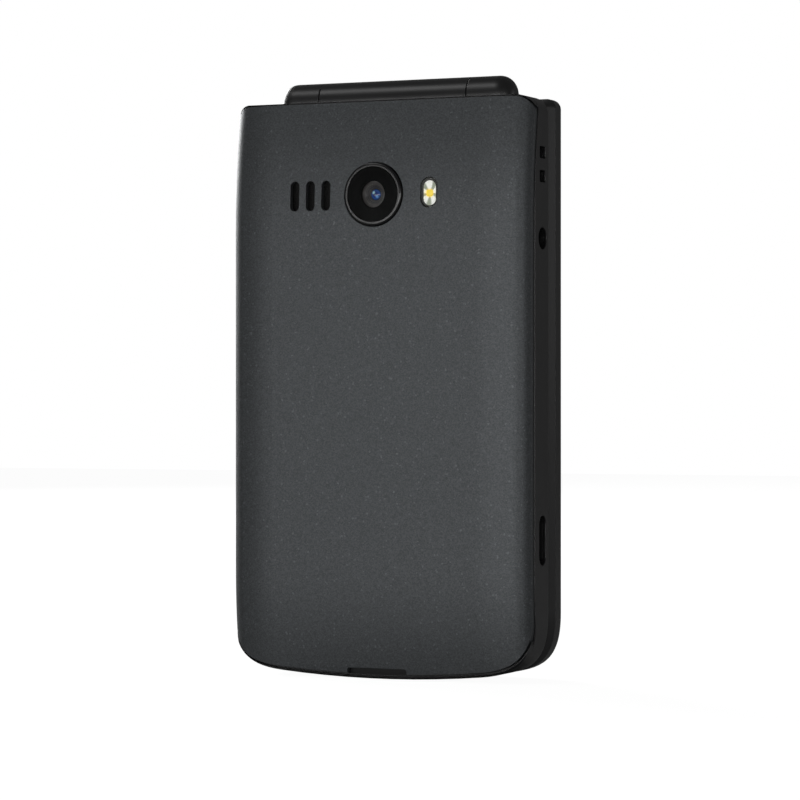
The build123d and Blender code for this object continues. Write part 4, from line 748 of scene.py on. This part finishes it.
def buildFlash():
    low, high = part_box("flash_lens")
    centre = middle("flash_lens") + Vector((flash["side"] * mm, 0, 0))
    frameCentre = middle("flash_lens")
    back = cadBack()
    outerWidth = (high.x - low.x) / mm - flash["margin"]
    outerLength = (high.z - low.z) / mm - flash["margin"]
    openWidth, openLength = flash["opening"]
    floorWidth, floorLength = flash["floor"]
    shift = -flash["low"]
    turns = flash["turns"]

    def stadiumLoop(shape, width, length, depth, count, lower=0.0, ribbed=0.0, share=0.0):
        ring = []
        for t in range(count):
            x, z = stadiumPoint(length, width, 2 * math.pi * (t + 0.5) / count)
            level = depth - ribbed * (t % 2)
            across = frameCentre.x + (x + share * flash["side"]) * mm
            ring.append(shape.verts.new((across, back + level * mm, centre.z + (z + lower) * mm)))
        return ring

    def cap(shape):
        front, rear = flash["capFront"], flash["capBack"]
        edge = [(inset, front + down) for inset, down in flash["capEdge"]] + [(0.0, rear)]
        loops = [
            stadiumLoop(shape, outerWidth - 2 * inset, outerLength - 2 * inset, depth, turns)
            for inset, depth in edge
        ]
        for first, second in zip(loops, loops[1:]):
            joinLoops(shape, first, second)
        shape.faces.new(loops[0])
        shape.faces.new(loops[-1])

    def frameRing(shape):
        front, rear = flash["capBack"] + flash["frameSink"], flash["frameBack"]
        flare = flash["frameFlare"]
        loops = [
            stadiumLoop(shape, outerWidth, outerLength, front, turns),
            stadiumLoop(shape, outerWidth, outerLength, rear, turns),
            stadiumLoop(shape, openWidth, openLength, rear, turns, shift),
            stadiumLoop(shape, openWidth + flare, openLength + flare, front, turns, shift),
        ]
        for first, second in zip(loops, loops[1:] + loops[:1]):
            joinLoops(shape, first, second)

    def bowl(shape):
        count = 4 * flash["ribs"]
        loops = []
        for share in flash["bowlShares"]:
            width = openWidth + (floorWidth - openWidth) * share
            length = openLength + (floorLength - openLength) * share
            depth = flash["bowlFront"] + flash["bowlDepth"] * math.sin(share * math.pi / 2)
            ribbed = flash["ribDepth"] * math.sin(math.pi * share) if 0 < share < 1 else 0.0
            loops.append(stadiumLoop(shape, width, length, depth, count, shift, ribbed, share))
        for first, second in zip(loops, loops[1:]):
            joinLoops(shape, first, second)
        shape.faces.new(loops[-1])

    def chip(shape):
        # a low cushion over the light
        bottom = flash["bowlFront"] + flash["bowlDepth"]
        loops = []
        for size, rise in flash["cushion"]:
            points = roundedCorners(size, size, flash["cushionCorner"] * size, flash["cushionSteps"])
            loops.append([
                shape.verts.new((centre.x + u * mm, back + (bottom - rise) * mm, centre.z + (v + shift) * mm))
                for u, v in points
            ])
        for first, second in zip(loops, loops[1:]):
            joinLoops(shape, first, second)
        shape.faces.new(loops[-1])

    white, tree, shader = newMaterial("flashBowl", flash["white"], flash["bowlRoughness"])
    # a yellow glow from the chip, painted on the bowl round its middle with a ragged edge
    distance = roundDistance(tree, (centre.x, centre.y, centre.z + shift * mm))
    grain = objectNoise(tree, flash["raggedTurns"], 2.0)
    ragged = calculate(tree, "ADD", distance, calculate(tree, "MULTIPLY", grain, flash["raggedReach"] * mm))
    mask = rangeOf(tree, ragged, 0.0, 1.0, flash["yellowRadius"] * mm, flash["whiteRadius"] * mm)
    place = addNode(tree, "ShaderNodeTexCoord")
    split = addNode(tree, "ShaderNodeSeparateXYZ")
    tree.links.new(place.outputs["Object"], split.inputs[0])
    # rays of light and shade painted round the middle, for the reflections in the ribs
    dx = calculate(tree, "SUBTRACT", split.outputs["X"], centre.x)
    dz = calculate(tree, "SUBTRACT", split.outputs["Z"], centre.z + shift * mm)
    turn = calculate(tree, "MULTIPLY", calculate(tree, "ARCTAN2", dx, dz), float(flash["rays"]))
    wave = calculate(tree, "COSINE", turn, 0.0)
    ray = rangeOf(tree, wave, 0.0, 1.0, *flash["rayBand"])
    pale = mixColours(tree, ray, flash["grey"], flash["white"])
    bowlColour = mixColours(tree, mask, flash["yellow"], pale)
    tree.links.new(bowlColour, shader.inputs["Base Color"])
    # the bowl also glows with this painted colour, though the flash is no lamp here
    tree.links.new(bowlColour, shader.inputs["Emission Color"])
    shader.inputs["Emission Strength"].default_value = flash["glow"]
    clear, tree, shader = newMaterial("flashCap", flash["capColour"], flash["capRoughness"])
    wave = objectNoise(tree, flash["waveTurns"], 1.0, flash["waveStretch"])
    addBump(tree, shader, wave, flash["waveBump"], flash["waveDepth"])
    seeThrough(tree, shader, flash["clearness"])
    piece = pieceFromMesh("flashCap", cap, "base", clear)
    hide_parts("flash_lens")
    pieceFromMesh("flashFrame", frameRing, "base", finish["weave"])
    pieceFromMesh("flashBowl", bowl, "base", white)
    phosphor, tree, shader = newMaterial("flashChip", flash["yellow"], flash["chipRoughness"])
    # the chip glows with painted yellow light, though the flash is off
    shader.inputs["Emission Color"].default_value = (*flash["yellow"], 1.0)
    shader.inputs["Emission Strength"].default_value = flash["glow"]
    grain = objectNoise(tree, flash["chipTurns"], 2.0)
    addBump(tree, shader, grain, flash["chipBump"], flash["chipDepth"])
    pieceFromMesh("flashChip", chip, "base", phosphor, smooth=True)
    paint("flash_led", mouldedPlastic("flashCup", flash["cup"], flash["cupRoughness"]))


buildFlash()
print("camera eye and flash made")

# woven wire behind the sound slots

weaveOf = {
    # node: body, pitch and wire thickness in mm
    "speaker_mesh": ("base", 0.36, 0.13),
    "earpiece_mesh": ("lid", 0.30, 0.11),
}
weaveSway = 0.03 * mm


def addWire(shape, points, half):
    # a square wire through points, with capped ends
    loops = []
    for index, point in enumerate(points):
        ahead = Vector(points[min(index + 1, len(points) - 1)]) - Vector(points[max(index - 1, 0)])
        side = ahead.cross(Vector((0, 1, 0))).normalized() * half
        lift = Vector((0, half, 0))
        centre = Vector(point)
        corners = ((1, 1), (-1, 1), (-1, -1), (1, -1))
        loops.append([shape.verts.new(centre + a * side + b * lift) for a, b in corners])
    for first, second in zip(loops, loops[1:]):
        joinLoops(shape, first, second)
    shape.faces.new(loops[0])
    shape.faces.new(loops[-1])


def buildWeave(node, body, pitch, wire):
    low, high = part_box(node)
    level = (low.y + high.y) / 2
    half = wire * mm / 2
    step = pitch * mm
    columns = int((high.x - low.x - 2 * half) / step)
    rows = int((high.z - low.z - 2 * half) / step)
    startX = (low.x + high.x - columns * step) / 2
    startZ = (low.z + high.z - rows * step) / 2

    def crossing(column, row, hand):
        depth = level + hand * weaveSway * (-1) ** (column + row)
        return startX + column * step, depth, startZ + row * step

    def wires(shape):
        for column in range(columns + 1):
            addWire(shape, [crossing(column, row, 1) for row in range(rows + 1)], half)
        for row in range(rows + 1):
            addWire(shape, [crossing(column, row, -1) for column in range(columns + 1)], half)

    name = node.replace("_mesh", "") + "Weave"
    weave = pieceFromMesh(name, wires, body, finish["weave"])
    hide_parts(node)


for node, (body, pitch, wire) in weaveOf.items():
    buildWeave(node, body, pitch, wire)

# battery: a grey label with a plain stripe and the signs of its two poles

label = {
    "width": 37.0, "height": 47.0, "corner": 1.5, "thickness": 0.04 * mm, "stripe": 6.0, "stripeDrop": 8.0,
    "signSize": 2.4, "signWidth": 0.45, "signSide": 4.5, "signDrop": 3.5,
    "printFrom": 0.5, "printTo": 1.5, "uprightTo": 1.6,  # in thicknesses of the sheet
}


def buildLabel():
    centre = middle("battery")
    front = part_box("battery")[0].y
    width, height, thickness = label["width"], label["height"], label["thickness"]
    under, over = label["printFrom"] * thickness, label["printTo"] * thickness

    def place(u, v, level):
        return centre.x + u * mm, front - level, centre.z + v * mm

    def sheet(shape):
        addPrism(shape, roundedCorners(width, height, label["corner"]), place, 0.0, thickness)

    def stripe(shape):
        top = height / 2 - label["stripeDrop"]
        low = top - label["stripe"]
        corners = [(-width / 2, top), (width / 2, top), (width / 2, low), (-width / 2, low)]
        addPrism(shape, corners, place, under, over)

    def signs(shape):
        half, line, side = label["signSize"] / 2, label["signWidth"], label["signSide"]
        v = height / 2 - label["signDrop"]
        for u in (-side, side):
            addBar(shape, (u - half, v), (u + half, v), line, place, under, over)
        addBar(shape, (side, v - half), (side, v + half), line, place, under, label["uprightTo"] * thickness)

    pieceFromMesh("batteryLabel", sheet, "base", finish["label"])
    pieceFromMesh("batteryStripe", stripe, "base", finish["stripe"])
    pieceFromMesh("batterySigns", signs, "base", finish["blackMatt"])


buildLabel()
print("weave and battery label made")

# keypad legends, printed a hair above the caps

legend = {
    "digitSize": 4.6, "starSize": 5.2, "thickness": 0.02 * mm, "line": 0.42, "thinLine": 0.28,
    "textHalf": 0.5,  # a text's half thickness before it is flattened
}
digits = {f"key_{n}": str(n) for n in range(10)}
digits.update({"key_star": "*", "key_hash": "#", "key_clear": "C"})


def keyPlace(node):
    centre = middle(node)
    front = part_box(node)[1].y

    def place(u, v, level):
        # the keypad is read from the front, so its right is towards -X
        return centre.x - u * mm, front + level, centre.z + v * mm

    return place


def buildDigit(node, sign):
    place = keyPlace(node)
    curve = bpy.data.curves.new(node + "Text", "FONT")
    curve.body = sign
    curve.size = legend["starSize"] if sign == "*" else legend["digitSize"]
    curve.align_x = "CENTER"
    curve.align_y = "CENTER"
    curve.extrude = legend["textHalf"]
    holder = bpy.data.objects.new(node + "Text", curve)
    bpy.context.scene.collection.objects.link(holder)
    bpy.context.view_layer.update()
    mesh = bpy.data.meshes.new_from_object(holder.evaluated_get(bpy.context.evaluated_depsgraph_get()))
    bpy.data.objects.remove(holder)
    bpy.data.curves.remove(curve)
    xs = [vertex.co.x for vertex in mesh.vertices]
    ys = [vertex.co.y for vertex in mesh.vertices]
    shiftX, shiftY = (min(xs) + max(xs)) / 2, (min(ys) + max(ys)) / 2
    for vertex in mesh.vertices:
        u, v, w = vertex.co
        vertex.co = place(u - shiftX, v - shiftY, legend["thickness"] * (w + legend["textHalf"]))
    mesh.name = node.replace("key_", "legend")
    pieceOf("legend_" + node[4:], mesh, bodyOf[node], finish["legend"])


# the drawn signs, in mm from the middle of the key
signShapes = {
    # radius and first and last angle in degrees of each arc of the receiver
    "arcs": ((2.05, 22, 158), (0.95, 158, 128), (1.55, 128, 52), (0.95, 52, 22)),
    "arcDrop": 1.2, "arcSteps": 8, "sendTurn": 135, "endTurn": 0,
    "softHalf": 1.6,
    "envelope": ((-1.8, -1.2), (1.8, -1.2), (1.8, 1.2), (-1.8, 1.2)), "envelopeLine": 0.3,
    "flap": (1.7, 1.1), "flapTip": (0, -0.2), "flapRise": 1.1,
    "camera": (3.8, 2.6, 0.4), "cameraEye": 0.85, "button": ((-0.6, 1.55), (0.6, 1.55)), "buttonLine": 0.35,
    "arrow": ((9.9, 0.0), (8.8, 0.75), (8.8, -0.75)),
    "okRadius": 1.3, "okLine": 0.35,
}


def handset(turn):
    # a telephone receiver lying across the key, turned by some degrees
    points = []
    for radius, start, end in signShapes["arcs"]:
        for step in range(signShapes["arcSteps"] + 1):
            angle = math.radians(start + (end - start) * step / signShapes["arcSteps"])
            points.append((radius * math.cos(angle), radius * math.sin(angle) - signShapes["arcDrop"]))
    cosine, sine = math.cos(math.radians(turn)), math.sin(math.radians(turn))
    return [(u * cosine - v * sine, u * sine + v * cosine) for u, v in points]


def drawSend(shape, place):
    addPrism(shape, handset(signShapes["sendTurn"]), place, 0.0, legend["thickness"])


def drawEnd(shape, place):
    addPrism(shape, handset(signShapes["endTurn"]), place, 0.0, legend["thickness"])


def drawSoft(shape, place):
    half = signShapes["softHalf"]
    addBar(shape, (-half, 0), (half, 0), legend["line"], place, 0.0, legend["thickness"])


def drawEnvelope(shape, place):
    corners = signShapes["envelope"]
    for start, end in zip(corners, corners[1:] + corners[:1]):
        addBar(shape, start, end, signShapes["envelopeLine"], place, 0.0, legend["thickness"])
    u, v = signShapes["flap"]
    rise = signShapes["flapRise"] * legend["thickness"]
    for hand in (-1, 1):
        addBar(shape, (hand * u, v), signShapes["flapTip"], legend["thinLine"], place, 0.0, rise)


def drawCamera(shape, place):
    corners = roundedCorners(*signShapes["camera"])
    for start, end in zip(corners, corners[1:] + corners[:1]):
        addBar(shape, start, end, legend["thinLine"], place, 0.0, legend["thickness"])
    addRing(shape, signShapes["cameraEye"], legend["thinLine"], place, 0.0, legend["thickness"])
    addBar(shape, *signShapes["button"], signShapes["buttonLine"], place, 0.0, legend["thickness"])


def drawArrows(shape, place):
    for turn in range(4):
        cosine, sine = math.cos(math.pi * turn / 2), math.sin(math.pi * turn / 2)
        turned = [(u * cosine - v * sine, u * sine + v * cosine) for u, v in signShapes["arrow"]]
        addPrism(shape, turned, place, 0.0, legend["thickness"])


def drawOk(shape, place):
    addRing(shape, signShapes["okRadius"], signShapes["okLine"], place, 0.0, legend["thickness"])


icons = {
    "key_send": (drawSend, "green"), "key_end": (drawEnd, "red"), "key_soft_left": (drawSoft, "legend"),
    "key_soft_right": (drawSoft, "legend"), "key_message": (drawEnvelope, "legend"),
    "key_camera": (drawCamera, "legend"), "key_ring": (drawArrows, "blackMatt"), "key_ok": (drawOk, "legend"),
}
for node, sign in digits.items():
    buildDigit(node, sign)
for node, (draw, colour) in icons.items():
    place = keyPlace(node)
    pieceFromMesh(
        "legend_" + node[4:], lambda shape: draw(shape, place), bodyOf[node], finish[colour],
    )

# plus and minus printed on the side wall, above and below the rocker

rockerSigns = {"size": 1.5, "line": 0.28, "away": 2.2 * mm, "thickness": 0.02 * mm, "uprightRise": 1.1}


def buildRockerSigns():
    low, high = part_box("volume_rocker")
    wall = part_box("rear_housing")[0].x
    centre = middle("volume_rocker")
    half = rockerSigns["size"] / 2

    def signs(shape):
        for hand in (-1, 1):
            level = high.z + rockerSigns["away"] if hand > 0 else low.z - rockerSigns["away"]

            def place(u, v, thickness):
                return wall - thickness, centre.y + u * mm, level + v * mm

            addBar(shape, (-half, 0), (half, 0), rockerSigns["line"], place, 0.0, rockerSigns["thickness"])
            if hand > 0:
                rise = rockerSigns["uprightRise"] * rockerSigns["thickness"]
                addBar(shape, (0, -half), (0, half), rockerSigns["line"], place, 0.0, rise)

    pieceFromMesh("rockerSigns", signs, "base", finish["marks"])


buildRockerSigns()
print("legends made")
